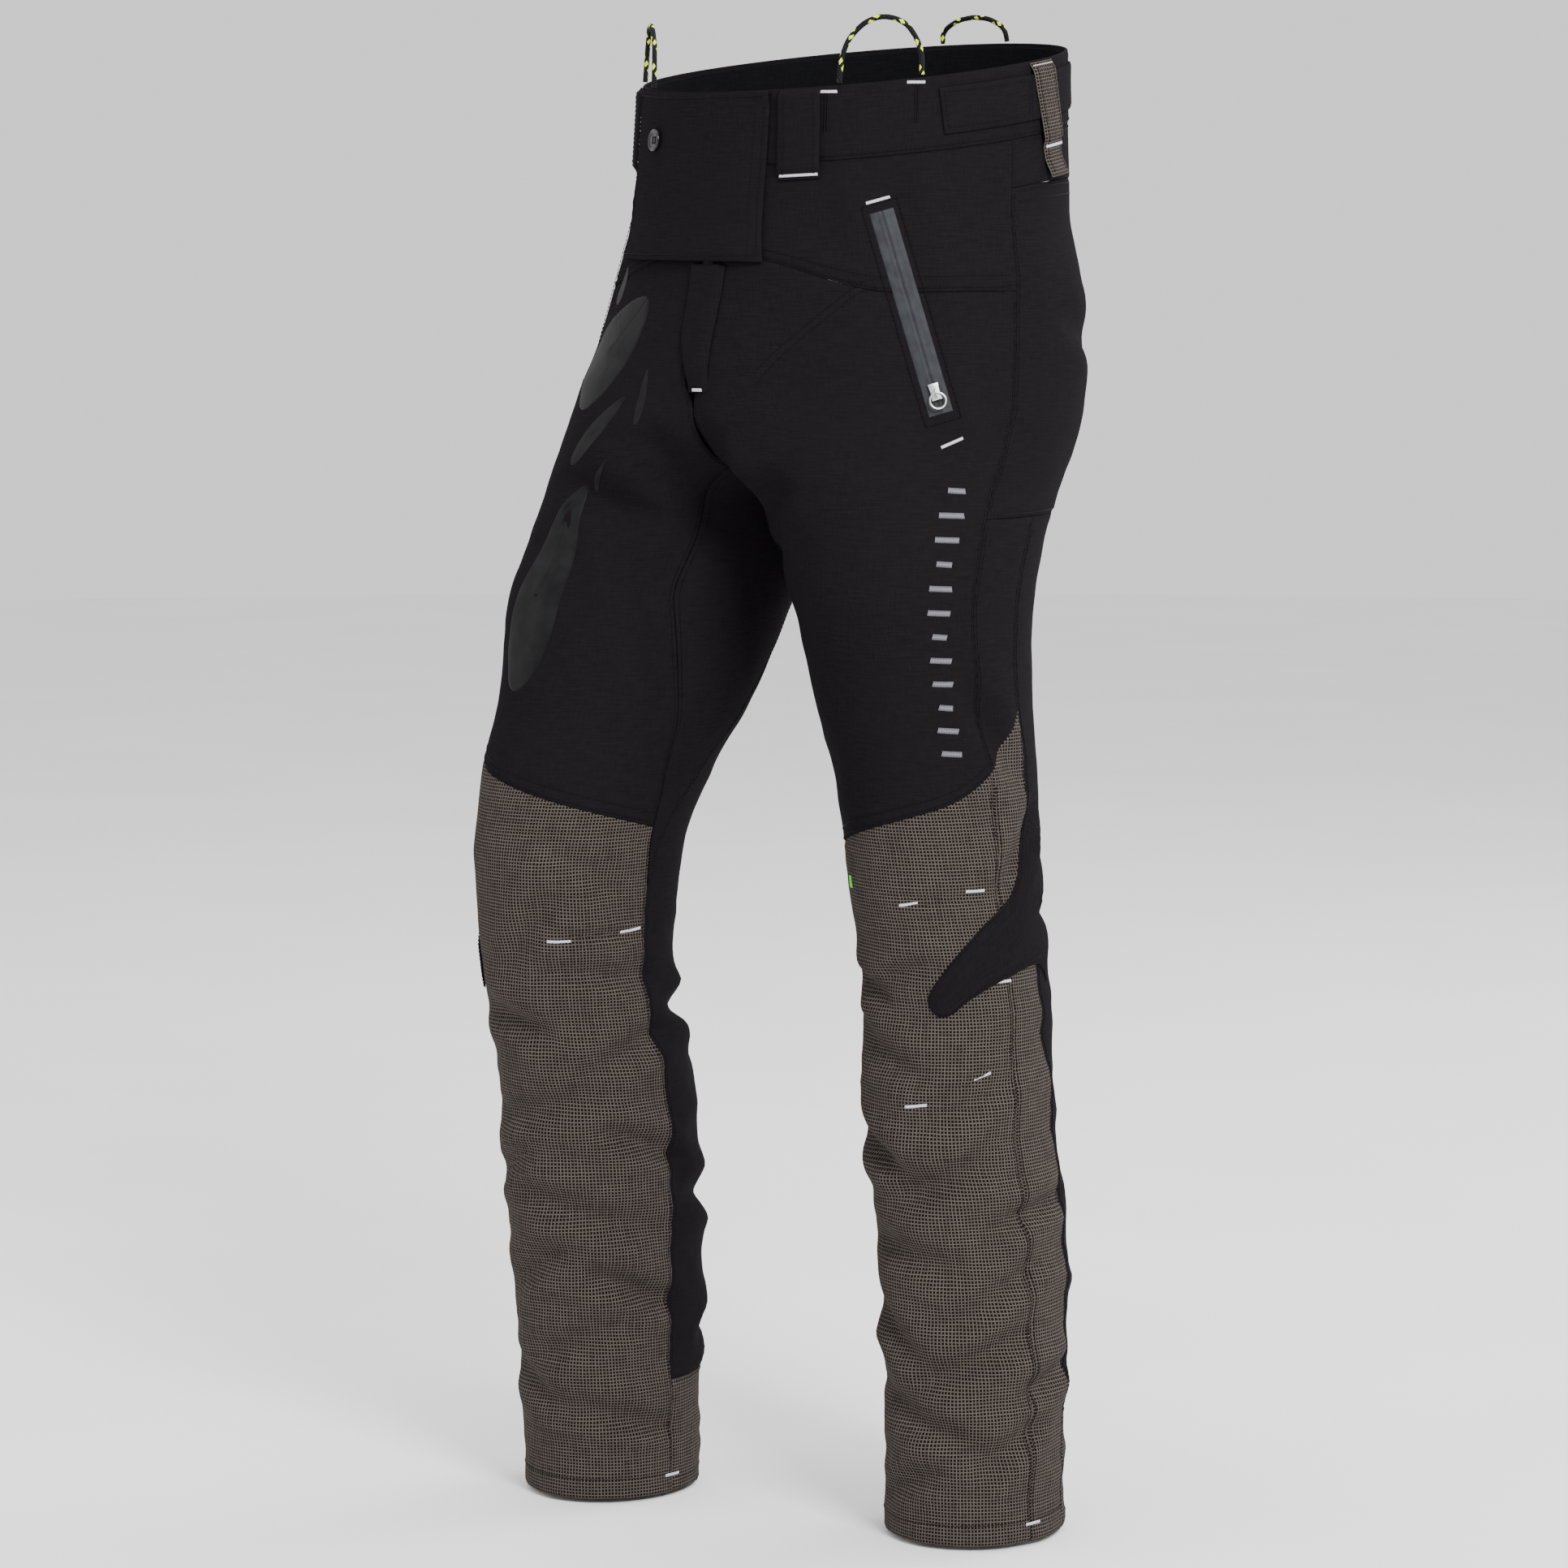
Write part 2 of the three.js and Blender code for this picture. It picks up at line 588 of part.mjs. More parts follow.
// Each loop's angle at its top, its length, and how far it leans back towards its lower end.
const loops = [
  ["belt_loop_front_left", 18, 64, 1, "stretchCloth"],
  ["belt_loop_front_right", -40 - loopWidth, 64, 0, "stretchCloth"],
  ["belt_loop_side_left", 90.5, 84, 9, "gridCloth"],
  ["belt_loop_side_right", -90.5 - loopWidth, 84, -9, "gridCloth"],
  ["belt_loop_back", 180 - loopWidth / 2, 64, 0, "stretchCloth"],
];
const loopSewn = 62; // a loop's upper end down to its lower bar tack
for (const [name, start, length, lean, finish] of loops) {
  const from = (z) => start + lean * clamp(-z / length, 0, 1);
  const shape = {
    from,
    to: (z) => from(z) + loopWidth,
    top: (angle) => bandTop(angle) - 1,
    bottom: (angle) => bandTop(angle) - length,
    lift: [layerGap, layerGap + loopThickness],
    raised: (t) => (loopLift - layerGap) * smooth(t * 12) * smooth((loopSewn / length - t) * 12),
  };
  add(name, band({ ...shape, columns: 2, rows: 12 }), finish);
}

const tabInset = 9; // below the waistband's top edge
const tabTop = (angle) => bandTop(angle) - tabInset;
const tabBottom = (angle) => tabTop(angle) - tabHeight;
for (const [name, side] of sides) {
  const mirrored = (from, to) => (side > 0 ? { from, to } : { from: -to, to: -from });
  const lift = [layerGap, layerGap + tabThickness];
  const shape = { top: tabTop, bottom: tabBottom, columns: 7, rows: 4, lift };
  add(`adjuster_tab_${name}`, band({ ...shape, ...mirrored(tabStart, tabEnd) }), "stretchCloth");
  add(`adjuster_strap_${name}`, band({ ...shape, ...mirrored(tabEnd, strapEnd) }), "stretchCloth");
}

add(
  "closure_flap",
  band({
    from: hingeAngle - flapWidth,
    to: hingeAngle,
    top: (angle) => bandTop(angle) - 1,
    bottom: flapEnd,
    columns: 8,
    rows: 6,
    lift: [flapLift, flapLift + flapThickness],
  }),
  "stretchCloth",
);

// The button, a rimmed disc with four sewing holes, on the flap's free end.
const buttonAt = [-23, -54];
const buttonPlace = trunk(...buttonAt, flapLift + flapThickness + 0.5);
const buttonOut = trunk(...buttonAt, 1).sub(trunk(...buttonAt, 0)).normalize();
const profile = [[0, 0], [6, 0], [8, 1.2], [8, 2.4], [7, 3.2], [6, 2.4], [4.4, 1.8], [0, 1.8]];
const rim = profile.map(([radius, height]) => new THREE.Vector2((radius * buttonRadius) / 8, height));
const disc = new THREE.LatheGeometry(rim, 22);
const hole = (x, z) => new THREE.CylinderGeometry(0.9, 0.9, 8, 8).translate(x, 0, z);
const spots = [[2, 2], [2, -2], [-2, 2], [-2, -2]];
const button = add("waist_button", cut(disc, ...spots.map(([x, z]) => hole(x, z))), "button");
button.quaternion.setFromUnitVectors(new THREE.Vector3(0, 1, 0), buttonOut);
button.position.copy(buttonPlace);

// ---- Brace loops: shock cord that leaves the waistband's top edge and goes back into it ---------
const routeWaist = { width: 172, depth: 133 }; // the waist these routes were chosen on
const frontRoute = [
  [94.5, -110, -15], [95, -109, -2], [96.5, -107.5, 7], [99, -105, 15], [103, -102, 21],
  [107.5, -98.5, 26], [112.5, -95, 29], [117.5, -91, 30.5], [122.5, -87, 30], [127.5, -83.5, 28],
  [131.5, -80, 24.5], [135, -77.5, 19], [138, -75.5, 12], [140, -74.5, 3], [141, -75, -9.5],
];
const backRoute = [
  [32.5, 130, 21], [32, 129, 26.5], [29.5, 129, 30.5], [25.5, 129, 33.5], [20, 129, 36],
  [14, 129, 38], [7, 129, 39], [-0.5, 129, 39.5], [-7, 129, 39], [-14, 129, 38],
  [-20, 129, 36], [-25.5, 129, 33.5], [-29.5, 129, 30.5], [-32, 129, 26.5], [-32.5, 130, 21],
];

function braceLoop(name, side, route) {
  const [wider, deeper] = [waistWidth / routeWaist.width, waistDepth / routeWaist.depth];
  const points = route.map(([x, y, z]) => new THREE.Vector3(side * x * wider, y * deeper, z));
  const ring = new THREE.Shape();
  for (let i = 0; i < cordSides; i += 1) {
    const turn = (2 * Math.PI * i) / cordSides;
    const spot = [(cordDiameter / 2) * Math.cos(turn), (cordDiameter / 2) * Math.sin(turn)];
    if (i === 0) ring.moveTo(...spot);
    else ring.lineTo(...spot);
  }
  ring.closePath();
  const extrudePath = new THREE.CatmullRomCurve3(points);
  add(name, new THREE.ExtrudeGeometry(ring, { steps: 20, bevelEnabled: false, extrudePath }), "cord");
}
for (const [name, side] of sides) braceLoop(`brace_loop_front_${name}`, side, frontRoute);
braceLoop("brace_loop_back", 1, backRoute);

export default trousers;
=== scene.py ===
"""Chainsaw protective trousers: cloth, seams, zips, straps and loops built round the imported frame.

Metres, +Z up. The origin is the centre of the waist opening, the front faces -Y and the wearer's
left is +X. A leg's angle is -90 at the front, 0 at the outer side, 90 at the back and 180 between
the legs. The trunk's angle is 0 at the front, 90 at the wearer's left and 180 at the back.
"""

import math

import bmesh
import bpy
import numpy as np
from mathutils import Matrix, Vector


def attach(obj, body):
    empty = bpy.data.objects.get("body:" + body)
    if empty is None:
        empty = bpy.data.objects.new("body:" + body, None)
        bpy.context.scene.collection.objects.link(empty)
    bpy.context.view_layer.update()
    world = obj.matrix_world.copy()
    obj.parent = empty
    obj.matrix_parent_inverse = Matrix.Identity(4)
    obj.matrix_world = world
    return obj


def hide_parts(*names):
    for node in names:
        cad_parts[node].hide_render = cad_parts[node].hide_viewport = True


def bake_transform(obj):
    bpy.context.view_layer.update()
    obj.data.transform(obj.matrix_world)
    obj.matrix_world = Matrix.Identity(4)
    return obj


bl_info = {
    "name": "Chainsaw protective trousers",
    "version": (1, 0, 0),
    "blender": (4, 5, 0),
    "location": "View3D > Sidebar > Trousers",
    "description": "Builds the cloth, seams, zips, straps and loops of protective work trousers",
    "category": "Add Mesh",
}

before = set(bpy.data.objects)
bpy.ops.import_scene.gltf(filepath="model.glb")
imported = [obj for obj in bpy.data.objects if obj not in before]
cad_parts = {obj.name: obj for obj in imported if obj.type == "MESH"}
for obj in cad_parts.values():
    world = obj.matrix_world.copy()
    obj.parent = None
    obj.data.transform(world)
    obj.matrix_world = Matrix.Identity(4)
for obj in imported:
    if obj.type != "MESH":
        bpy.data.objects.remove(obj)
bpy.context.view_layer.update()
SIDES = (("left", 1), ("right", -1))

# ---- Main sizes ---------------------------------------------------------------------------
RISE = 0.305
THIGH_DROP = 0.360
SHIN_DROP = 0.390
KNEE_Z = -(RISE + THIGH_DROP)
CROTCH_Z = -RISE
HEM_Z = KNEE_Z - SHIN_DROP
WAIST_TILT = 0.020
BAND_HEIGHT = 0.052
CLOTH = 0.0016  # thickness of the outer cloth
SEAM_GAP = 0.0003  # gap between two panels that are sewn together
LAYER_GAP = 0.0008
SIDE_SEAM = -6
REAR_SEAM = 22
CALF_SEAM = 40
CALF_EDGE = CALF_SEAM - 7  # the black calf panel's front edge
INSEAM = 177
CALF_END = 0.304
PACK_INSET = 0.0125
PACK_THICKNESS = 0.005
GRID = 0.0042  # spacing of the cloth's mesh
EDGE_STEPS = (0.0, 0.0008, 0.0018, 0.0032)
ROLL_DEPTH = 0.0007  # how far a sewn edge dips into its seam, and over what width
ROLL_WIDTH = 0.0016
PUCKER = 0.00022
PUCKER_PITCH = 0.009
PUCKER_WIDTH = 0.006
CREASE_STRENGTH = 1.7  # scales the depths of the drawn creases
HINGE_ANGLE = 15.5  # where the closure flap is sewn on, round the trunk
FLAP_WIDTH = 52
FLAP_DROP = 0.120
FLAP_LOW = -(WAIST_TILT + FLAP_DROP)  # the height of the flap's lower edge
FLAP_LIFT = 0.004
FLAP_THICKNESS = 0.002
FLY_SLOT = 0.006
FLY_TOP = -(WAIST_TILT + BAND_HEIGHT) - 0.001
FLY_LENGTH = 0.146
FLY_BOTTOM = FLY_TOP - FLY_LENGTH
ZIP_LENGTH = 0.148
ZIP_WIDTH = 0.0176
ZIP_TOP = (-44, -0.104)  # angle and height of the pocket zip's two ends
ZIP_BOTTOM = (-30, -0.245)
ZIP_SINK = 0.0006
FLAT_WIDTH = 0.034  # the cloth is flat this far to each side of the zip, less the fade
FLAT_WIDTH_FADE = 0.022
FLAT_END = 0.032
FLAT_END_FADE = 0.026
LOOP_WIDTH = 11
LOOP_TACK = 0.062  # how far down the band a belt loop is sewn on
TAB_START = 60
TAB_END = 91
STRAP_END = 128
CORD_DIAMETER = 0.0037
BRAID_STRANDS = 6
BRAID_LAY = 0.0036
TAB_HEIGHT = 0.032
WAIST_RADIUS = 0.155  # turns an angle round the waist into a length

# at, spread, forward, step, width, depth, lean: the body's section at one height
SECTIONS = np.array(
    [
        (0.04, 0, 0, 0, 0.172, 0.133, 0),
        (0, 0, 0, 0, 0.172, 0.133, 0),
        (-0.34 * RISE, 0, -0.002, 0, 0.174, 0.140, 0),
        (-0.49 * RISE, 0.008, -0.004, 0.002, 0.172, 0.147, 0),
        (-0.65 * RISE, 0.020, -0.013, 0.009, 0.163, 0.149, 0),
        (-0.8 * RISE, 0.045, -0.025, 0.017, 0.139, 0.144, 0),
        (-0.91 * RISE, 0.071, -0.036, 0.018, 0.114, 0.134, 0.004),
        (CROTCH_Z, 0.0935, -0.048, 0.019, 0.093, 0.120, 0.009),
        (CROTCH_Z - 0.1 * THIGH_DROP, 0.098, -0.060, 0.024, 0.092, 0.108, 0.018),
        (CROTCH_Z - 0.22 * THIGH_DROP, 0.103, -0.073, 0.032, 0.088, 0.100, 0.022),
        (CROTCH_Z - 0.42 * THIGH_DROP, 0.106, -0.080, 0.047, 0.080, 0.090, 0.017),
        (CROTCH_Z - 0.58 * THIGH_DROP, 0.111, -0.090, 0.064, 0.074, 0.083, 0.011),
        (CROTCH_Z - 0.75 * THIGH_DROP, 0.117, -0.096, 0.071, 0.068, 0.078, 0.006),
        (KNEE_Z, 0.126, -0.089, 0.069, 0.064, 0.073, 0.003),
        (KNEE_Z - 0.25 * SHIN_DROP, 0.131, -0.077, 0.057, 0.066, 0.077, 0.003),
        (KNEE_Z - 0.55 * SHIN_DROP, 0.137, -0.066, 0.055, 0.064, 0.075, 0.002),
        (HEM_Z, 0.142, -0.064, 0.048, 0.063, 0.069, 0),
        (HEM_Z - 0.06, 0.142, -0.064, 0.048, 0.063, 0.069, 0),
    ]
)
HEIGHTS = SECTIONS[:, 0]
VALUES = SECTIONS[:, 1:]


def section_slopes():
    """The slope of each section value at each height, so that the curve through them never overshoots."""
    steps = np.diff(VALUES, axis=0) / np.diff(HEIGHTS)[:, None]
    slopes = np.zeros_like(VALUES)
    before, after = steps[:-1], steps[1:]
    same = before * after > 0
    slopes[1:-1][same] = (2 * before * after)[same] / (before + after)[same]
    return slopes


SLOPES = section_slopes()


def section(z):
    """Spread, forward, step, width, depth and lean at each height."""
    z = np.asarray(z, float)
    i = np.clip(np.searchsorted(-HEIGHTS, -z, side="right") - 1, 0, len(HEIGHTS) - 2)
    span = HEIGHTS[i + 1] - HEIGHTS[i]
    t = np.clip((z - HEIGHTS[i]) / span, 0, 1)[..., None]
    span = span[..., None]
    return (
        VALUES[i] * (1 + 2 * t) * (1 - t) ** 2
        + VALUES[i + 1] * (3 - 2 * t) * t**2
        + span * (SLOPES[i] * t * (1 - t) ** 2 - SLOPES[i + 1] * (1 - t) * t**2)
    )


def smooth(t):
    t = np.clip(t, 0, 1)
    return t * t * (3 - 2 * t)


def mix(a, b, t):
    return a + (b - a) * t


def unit(v):
    return v / np.linalg.norm(v, axis=-1, keepdims=True)


def on_skin(side, angle, z):
    """A point of the smooth body form. side is 1 for the wearer's left and -1 for the right."""
    angle, z = np.broadcast_arrays(np.asarray(angle, float), np.asarray(z, float))
    spread, forward, step, width, depth, lean = np.moveaxis(section(z), -1, 0)
    turn = np.radians(angle)
    x = spread + width * np.cos(turn)
    share = mix(smooth(np.abs(x) / 0.09), 1, smooth((CROTCH_Z - z) / 0.08))
    y = forward + depth * np.sin(turn) - lean * np.cos(turn) + side * step * share
    return np.stack([side * x, y, z], -1)


def skin_normal(side, angle, z):
    around = on_skin(side, angle + 0.5, z) - on_skin(side, angle - 0.5, z)
    up = on_skin(side, angle, z + 0.001) - on_skin(side, angle, z - 0.001)
    return side * unit(np.cross(around, up))


# ---- Folds --------------------------------------------------------------------------------
def wave_set(seed, count, shortest, longest, steepest):
    """Seeded plane waves whose crests run mostly round the leg."""
    random = np.random.default_rng(seed)
    tilt = np.radians(random.uniform(0, steepest, count))
    turn = random.uniform(0, 2 * math.pi, count)
    length = random.uniform(shortest, longest, count)
    direction = np.stack([np.cos(turn) * np.sin(tilt), np.sin(turn) * np.sin(tilt), np.cos(tilt)], -1)
    return direction * (2 * math.pi / length)[:, None], random.uniform(0, 2 * math.pi, count)


RUCKS = wave_set(11, 14, 0.06, 0.17, 62)
SWELLS = wave_set(23, 10, 0.13, 0.26, 75)
CRUMPLE = wave_set(37, 18, 0.016, 0.04, 70)


def waves(base, wave):
    vectors, phases = wave
    return np.sin(base @ vectors.T + phases).sum(-1) * math.sqrt(2 / len(phases))


# side, angle, height, length, width, depth, tilt in degrees from level, bow
CREASES = (
    # left lower leg
    (1, -70, -0.640, 0.085, 0.0070, 0.0030, 14, 0.10),
    (1, -110, -0.655, 0.070, 0.0080, 0.0036, -18, -0.10),
    (1, -95, -0.700, 0.110, 0.0100, 0.0032, -24, 0.10),
    (1, -38, -0.735, 0.100, 0.0090, 0.0026, 22, -0.08),
    (1, -105, -0.772, 0.100, 0.0100, 0.0058, -22, -0.16),
    (1, -60, -0.792, 0.120, 0.0110, 0.0050, 20, -0.12),
    (1, 5, -0.815, 0.090, 0.0080, 0.0040, 12, 0.08),
    (1, -85, -0.845, 0.130, 0.0110, 0.0034, -12, 0.08),
    (1, -25, -0.872, 0.110, 0.0090, 0.0034, 30, 0.10),
    (1, -100, -0.905, 0.100, 0.0100, 0.0036, -30, 0.10),
    (1, -50, -0.925, 0.140, 0.0100, 0.0042, 26, -0.10),
    (1, 10, -0.940, 0.080, 0.0080, 0.0036, 18, 0.08),
    (1, -75, -0.968, 0.130, 0.0100, 0.0040, -22, 0.12),
    (1, -20, -0.985, 0.090, 0.0090, 0.0034, 34, 0.10),
    (1, -95, -1.015, 0.090, 0.0090, 0.0036, 24, 0.10),
    (1, 120, -0.700, 0.110, 0.0090, 0.0046, 8, 0.10),
    (1, 95, -0.740, 0.100, 0.0090, 0.0040, -16, 0.10),
    (1, 130, -0.800, 0.120, 0.0100, 0.0036, 16, -0.10),
    (1, 100, -0.880, 0.120, 0.0100, 0.0034, -20, 0.10),
    (1, 150, -0.960, 0.100, 0.0090, 0.0034, 24, 0.10),
    # right lower leg
    (-1, -140, -0.575, 0.100, 0.0100, 0.0026, 34, 0.10),
    (-1, -110, -0.620, 0.100, 0.0110, 0.0030, -52, 0.10),
    (-1, -150, -0.655, 0.110, 0.0080, 0.0028, 4, 0.06),
    (-1, -90, -0.690, 0.100, 0.0100, 0.0040, 16, 0.14),
    (-1, -160, -0.715, 0.110, 0.0090, 0.0034, -24, 0.10),
    (-1, -110, -0.755, 0.140, 0.0110, 0.0038, -14, 0.10),
    (-1, -165, -0.785, 0.100, 0.0090, 0.0040, 26, 0.10),
    (-1, -75, -0.800, 0.090, 0.0090, 0.0036, -24, 0.10),
    (-1, -125, -0.835, 0.150, 0.0110, 0.0036, 18, -0.12),
    (-1, -90, -0.880, 0.110, 0.0100, 0.0036, -26, 0.10),
    (-1, -155, -0.895, 0.110, 0.0090, 0.0040, 24, 0.10),
    (-1, -120, -0.935, 0.140, 0.0110, 0.0036, -20, 0.10),
    (-1, -80, -0.970, 0.100, 0.0100, 0.0036, 22, 0.10),
    (-1, -150, -0.995, 0.110, 0.0090, 0.0034, 18, 0.10),
    (-1, 120, -0.690, 0.110, 0.0090, 0.0044, 10, 0.10),
    (-1, 90, -0.745, 0.110, 0.0090, 0.0038, -18, 0.10),
    (-1, 140, -0.830, 0.120, 0.0100, 0.0036, 18, 0.10),
    (-1, 110, -0.930, 0.120, 0.0100, 0.0034, -16, 0.10),
    # the darts at the knees
    (1, -42, -0.587, 0.080, 0.0034, 0.0016, 2, 0.0),
    (1, -47, -0.7245, 0.075, 0.0034, 0.0018, 22, 0.0),
    (-1, -150, -0.6255, 0.070, 0.0034, 0.0016, 2, 0.0),
    # thighs and seat
    (1, -118, -0.275, 0.090, 0.0090, 0.0036, 34, 0.12),
    (1, -112, -0.305, 0.110, 0.0100, 0.0034, 24, 0.10),
    (1, -128, -0.345, 0.110, 0.0110, 0.0034, 40, 0.10),
    (-1, -112, -0.280, 0.100, 0.0090, 0.0038, 30, 0.12),
    (-1, -104, -0.310, 0.130, 0.0110, 0.0036, 22, 0.10),
    (-1, -122, -0.350, 0.130, 0.0120, 0.0034, 44, 0.10),
    (-1, -140, -0.420, 0.120, 0.0110, 0.0030, 58, 0.10),
    (1, 0, -0.470, 0.120, 0.0110, 0.0026, -60, 0.10),
    (1, 14, -0.555, 0.100, 0.0100, 0.0030, 50, 0.10),
    (1, 110, -0.335, 0.120, 0.0110, 0.0034, -22, 0.10),
    (-1, 110, -0.335, 0.120, 0.0110, 0.0034, -22, 0.10),
    (1, 60, -0.600, 0.100, 0.0100, 0.0030, 20, 0.10),
    (-1, 60, -0.600, 0.100, 0.0100, 0.0030, 20, 0.10),
    (1, 30, -0.190, 0.110, 0.0110, 0.0024, -14, 0.10),
    (-1, 30, -0.190, 0.110, 0.0110, 0.0024, -14, 0.10),
)


def crease_depth(side, angle, z):
    """The sum of the drawn creases: a narrow valley between two soft ridges."""
    total = np.zeros(np.broadcast(angle, z).shape)
    radius = section(z)[..., 3:5].mean(-1)
    for own, at_angle, at_z, length, width, depth, tilt, bow in CREASES:
        if own != side:
            continue
        turn = (angle - at_angle + 180) % 360 - 180
        across, up = np.radians(turn) * radius, z - at_z
        c, s = math.cos(math.radians(tilt)), math.sin(math.radians(tilt))
        along = across * c + up * s
        off = (up * c - across * s) + bow * along**2 / length
        fade = smooth(1 - (2 * np.abs(along) / length) ** 2)
        valley = np.exp(-((off / width) ** 2))
        ridges = np.exp(-((np.abs(off) - 1.9 * width) ** 2) / (1.2 * width) ** 2)
        total += CREASE_STRENGTH * depth * fade * (0.55 * ridges - valley)
    return total


def folds(side, angle, z, base):
    """How far the cloth stands off the smooth form, in metres."""
    low = smooth((KNEE_Z + 0.10 - z) / 0.16)
    hem = smooth((z - HEM_Z) / 0.05)
    band = smooth((-0.070 - z) / 0.06)
    rucks = 0.55 - np.sqrt(waves(base, RUCKS) ** 2 + 0.03)
    amount = mix(0.0005, 0.0012, low) * mix(0.5, 1, hem) * band
    swell = waves(base, SWELLS) * mix(0.0006, 0.0012, low) * band
    crumple = waves(base, CRUMPLE) * mix(0.00010, 0.00028, low) * mix(0.3, 1, band)
    return rucks * amount + swell + crumple + crease_depth(side, angle, z) * hem * band


def zip_frame(side):
    """The straight line that a pocket zip's slider follows, and the flat that it lies in."""
    high = raw_skin(side, *ZIP_TOP, -ZIP_SINK)
    low = raw_skin(side, *ZIP_BOTTOM, -ZIP_SINK)
    along = unit(low - high)
    facing = skin_normal(side, *np.mean([ZIP_TOP, ZIP_BOTTOM], axis=0))
    across = unit(np.cross(along, facing))
    out = unit(np.cross(across, along))
    return {"middle": (high + low) / 2, "along": along, "across": across, "out": out}


def raw_skin(side, angle, z, lift):
    return on_skin(side, angle, z) + skin_normal(side, np.float64(angle), np.float64(z)) * lift


ZIPS = {side: zip_frame(side) for _, side in SIDES}


def skin(side, angle, z, lift=0.0):
    """A point of the cloth with its folds, lifted outward, flat under the pocket zip."""
    angle, z = np.broadcast_arrays(np.asarray(angle, float), np.asarray(z, float))
    base = on_skin(side, angle, z)
    out = skin_normal(side, angle, z)
    stands = lift + folds(side, angle, z, base)
    point = base + out * stands[..., None]
    flat = ZIPS[side]
    gap = point - flat["middle"]
    sideways = np.abs(gap @ flat["across"])
    lengthways = np.abs(gap @ flat["along"])
    share = smooth((FLAT_WIDTH - sideways) / FLAT_WIDTH_FADE)
    share = share * smooth((ZIP_LENGTH / 2 + FLAT_END - lengthways) / FLAT_END_FADE)
    share = share * (z > -0.29) * (np.cos(np.radians(angle)) > 0)
    height = gap @ flat["out"]
    point = point + flat["out"] * (share * (lift - height))[..., None]
    nearest = np.where(z > CROTCH_Z - 0.06, SEAM_GAP / 2, -1.0)
    point[..., 0] = side * np.maximum(side * point[..., 0], nearest)
    return point


def trunk(angle, z, lift=0.0):
    """The same surface by the trunk's angle."""
    angle, z = np.broadcast_arrays(np.asarray(angle, float), np.asarray(z, float))
    turn = (angle + 180) % 360 - 180
    left = skin(1, np.abs(turn) - 90, z, lift)
    right = skin(-1, np.abs(turn) - 90, z, lift)
    return np.where((turn >= 0)[..., None], left, right)


def at_middle(x, z, lift=0.0):
    """The front surface by distance from the middle plane."""
    x, z = np.broadcast_arrays(np.asarray(x, float), np.asarray(z, float))
    angle = -angle_at(z, np.maximum(np.abs(x), SEAM_GAP))
    return np.where((x >= 0)[..., None], skin(1, angle, z, lift), skin(-1, angle, z, lift))


# ---- Seams ----------------------------------------------------------------------------------
def angle_at(z, from_middle):
    values = section(z)
    return np.degrees(np.arccos(np.clip((from_middle - values[..., 0]) / values[..., 3], -1, 1)))


def band_top(angle):
    return -WAIST_TILT * np.cos(np.radians(angle))


def band_bottom(angle):
    return band_top(angle) - BAND_HEIGHT


def knee_seam_of(side):
    """The seam above the knee climbs slowly round the front and steeply at the outer side."""
    start = KNEE_Z + (0.096 if side > 0 else 0.120)
    return lambda angle: start + 0.00035 * (angle + 170) + 0.085 * smooth((angle + 45) / 110) ** 1.5


def front_yoke_seam(angle):
    return mix(-0.136, -0.160, smooth((angle + 82) / 40))


def back_yoke_seam(angle):
    return band_bottom(angle + 90) - mix(0.034, 0.052, smooth(angle / 90))


SEAT_END = CROTCH_Z - 0.014
HEM_STITCH = 0.015
HEM_TACK = 0.013
GUSSET_START = -0.89 * RISE
GUSSET_WIDEST = CROTCH_Z - 0.030
GUSSET_POINT = CROTCH_Z - 0.82 * THIGH_DROP  # where its two seams meet
GUSSET_END = mix(GUSSET_WIDEST, GUSSET_POINT, 0.97)


def gusset_spread(z):
    return 45 * (1 - smooth((GUSSET_WIDEST - z) / (GUSSET_WIDEST - GUSSET_POINT)))


def rise_angle(z):
    return angle_at(z, SEAM_GAP / 2)


def gusset_front(z):
    return INSEAM - 360 + gusset_spread(z)


def gusset_back(z):
    return INSEAM - gusset_spread(z)


def fly_edge(z):
    return mix(FLY_SLOT, SEAM_GAP / 2, smooth((FLY_BOTTOM - 0.004 - z) / 0.02))


def front_edge(z):
    fly = -angle_at(z, fly_edge(z))
    return np.where(z > GUSSET_START, fly, np.maximum(fly, gusset_front(z)))


def back_edge(z):
    return np.where(z > GUSSET_START, rise_angle(z), np.minimum(rise_angle(z), gusset_back(z)))


def rear_edge(z):
    """The front edge of the black back panel: it steps back below the knee."""
    return mix(REAR_SEAM, CALF_EDGE, smooth((KNEE_Z - 0.015 - z) / 0.05))


def rise_height(angle):
    """The height at which the two legs' surfaces meet at an angle."""
    turn = np.minimum(np.abs(angle), 360 - np.abs(angle))
    high = np.full(turn.shape, GUSSET_START + 0.06)
    low = np.full(turn.shape, CROTCH_Z)
    for _ in range(30):
        middle = (high + low) / 2
        below = rise_angle(middle) < turn
        high, low = np.where(below, middle, high), np.where(below, low, middle)
    return low


def value(edge, at):
    return edge(at) if callable(edge) else np.full(np.shape(at), float(edge))


def placed(shape, s, t):
    """Angle and height inside a panel whose edges are (start, end, top, bottom)."""
    start, end, top, bottom = shape
    z = np.full(s.shape, KNEE_Z)
    angle = (value(start, z) + value(end, z)) / 2
    for _ in range(45):
        inset = np.degrees(SEAM_GAP / 2 / section(z)[..., 3])
        angle = mix(angle, mix(value(start, z) + inset, value(end, z) - inset, s), 0.7)
        z = mix(z, mix(value(top, angle) - SEAM_GAP / 2, value(bottom, angle) + SEAM_GAP / 2, t), 0.7)
    return angle, z


# ---- Meshes -----------------------------------------------------------------------------------
ARC_ANGLES = np.arange(-232.0, 190.0, 1.0)
ARC_HEIGHTS = np.arange(0.04, -1.09, -0.005)


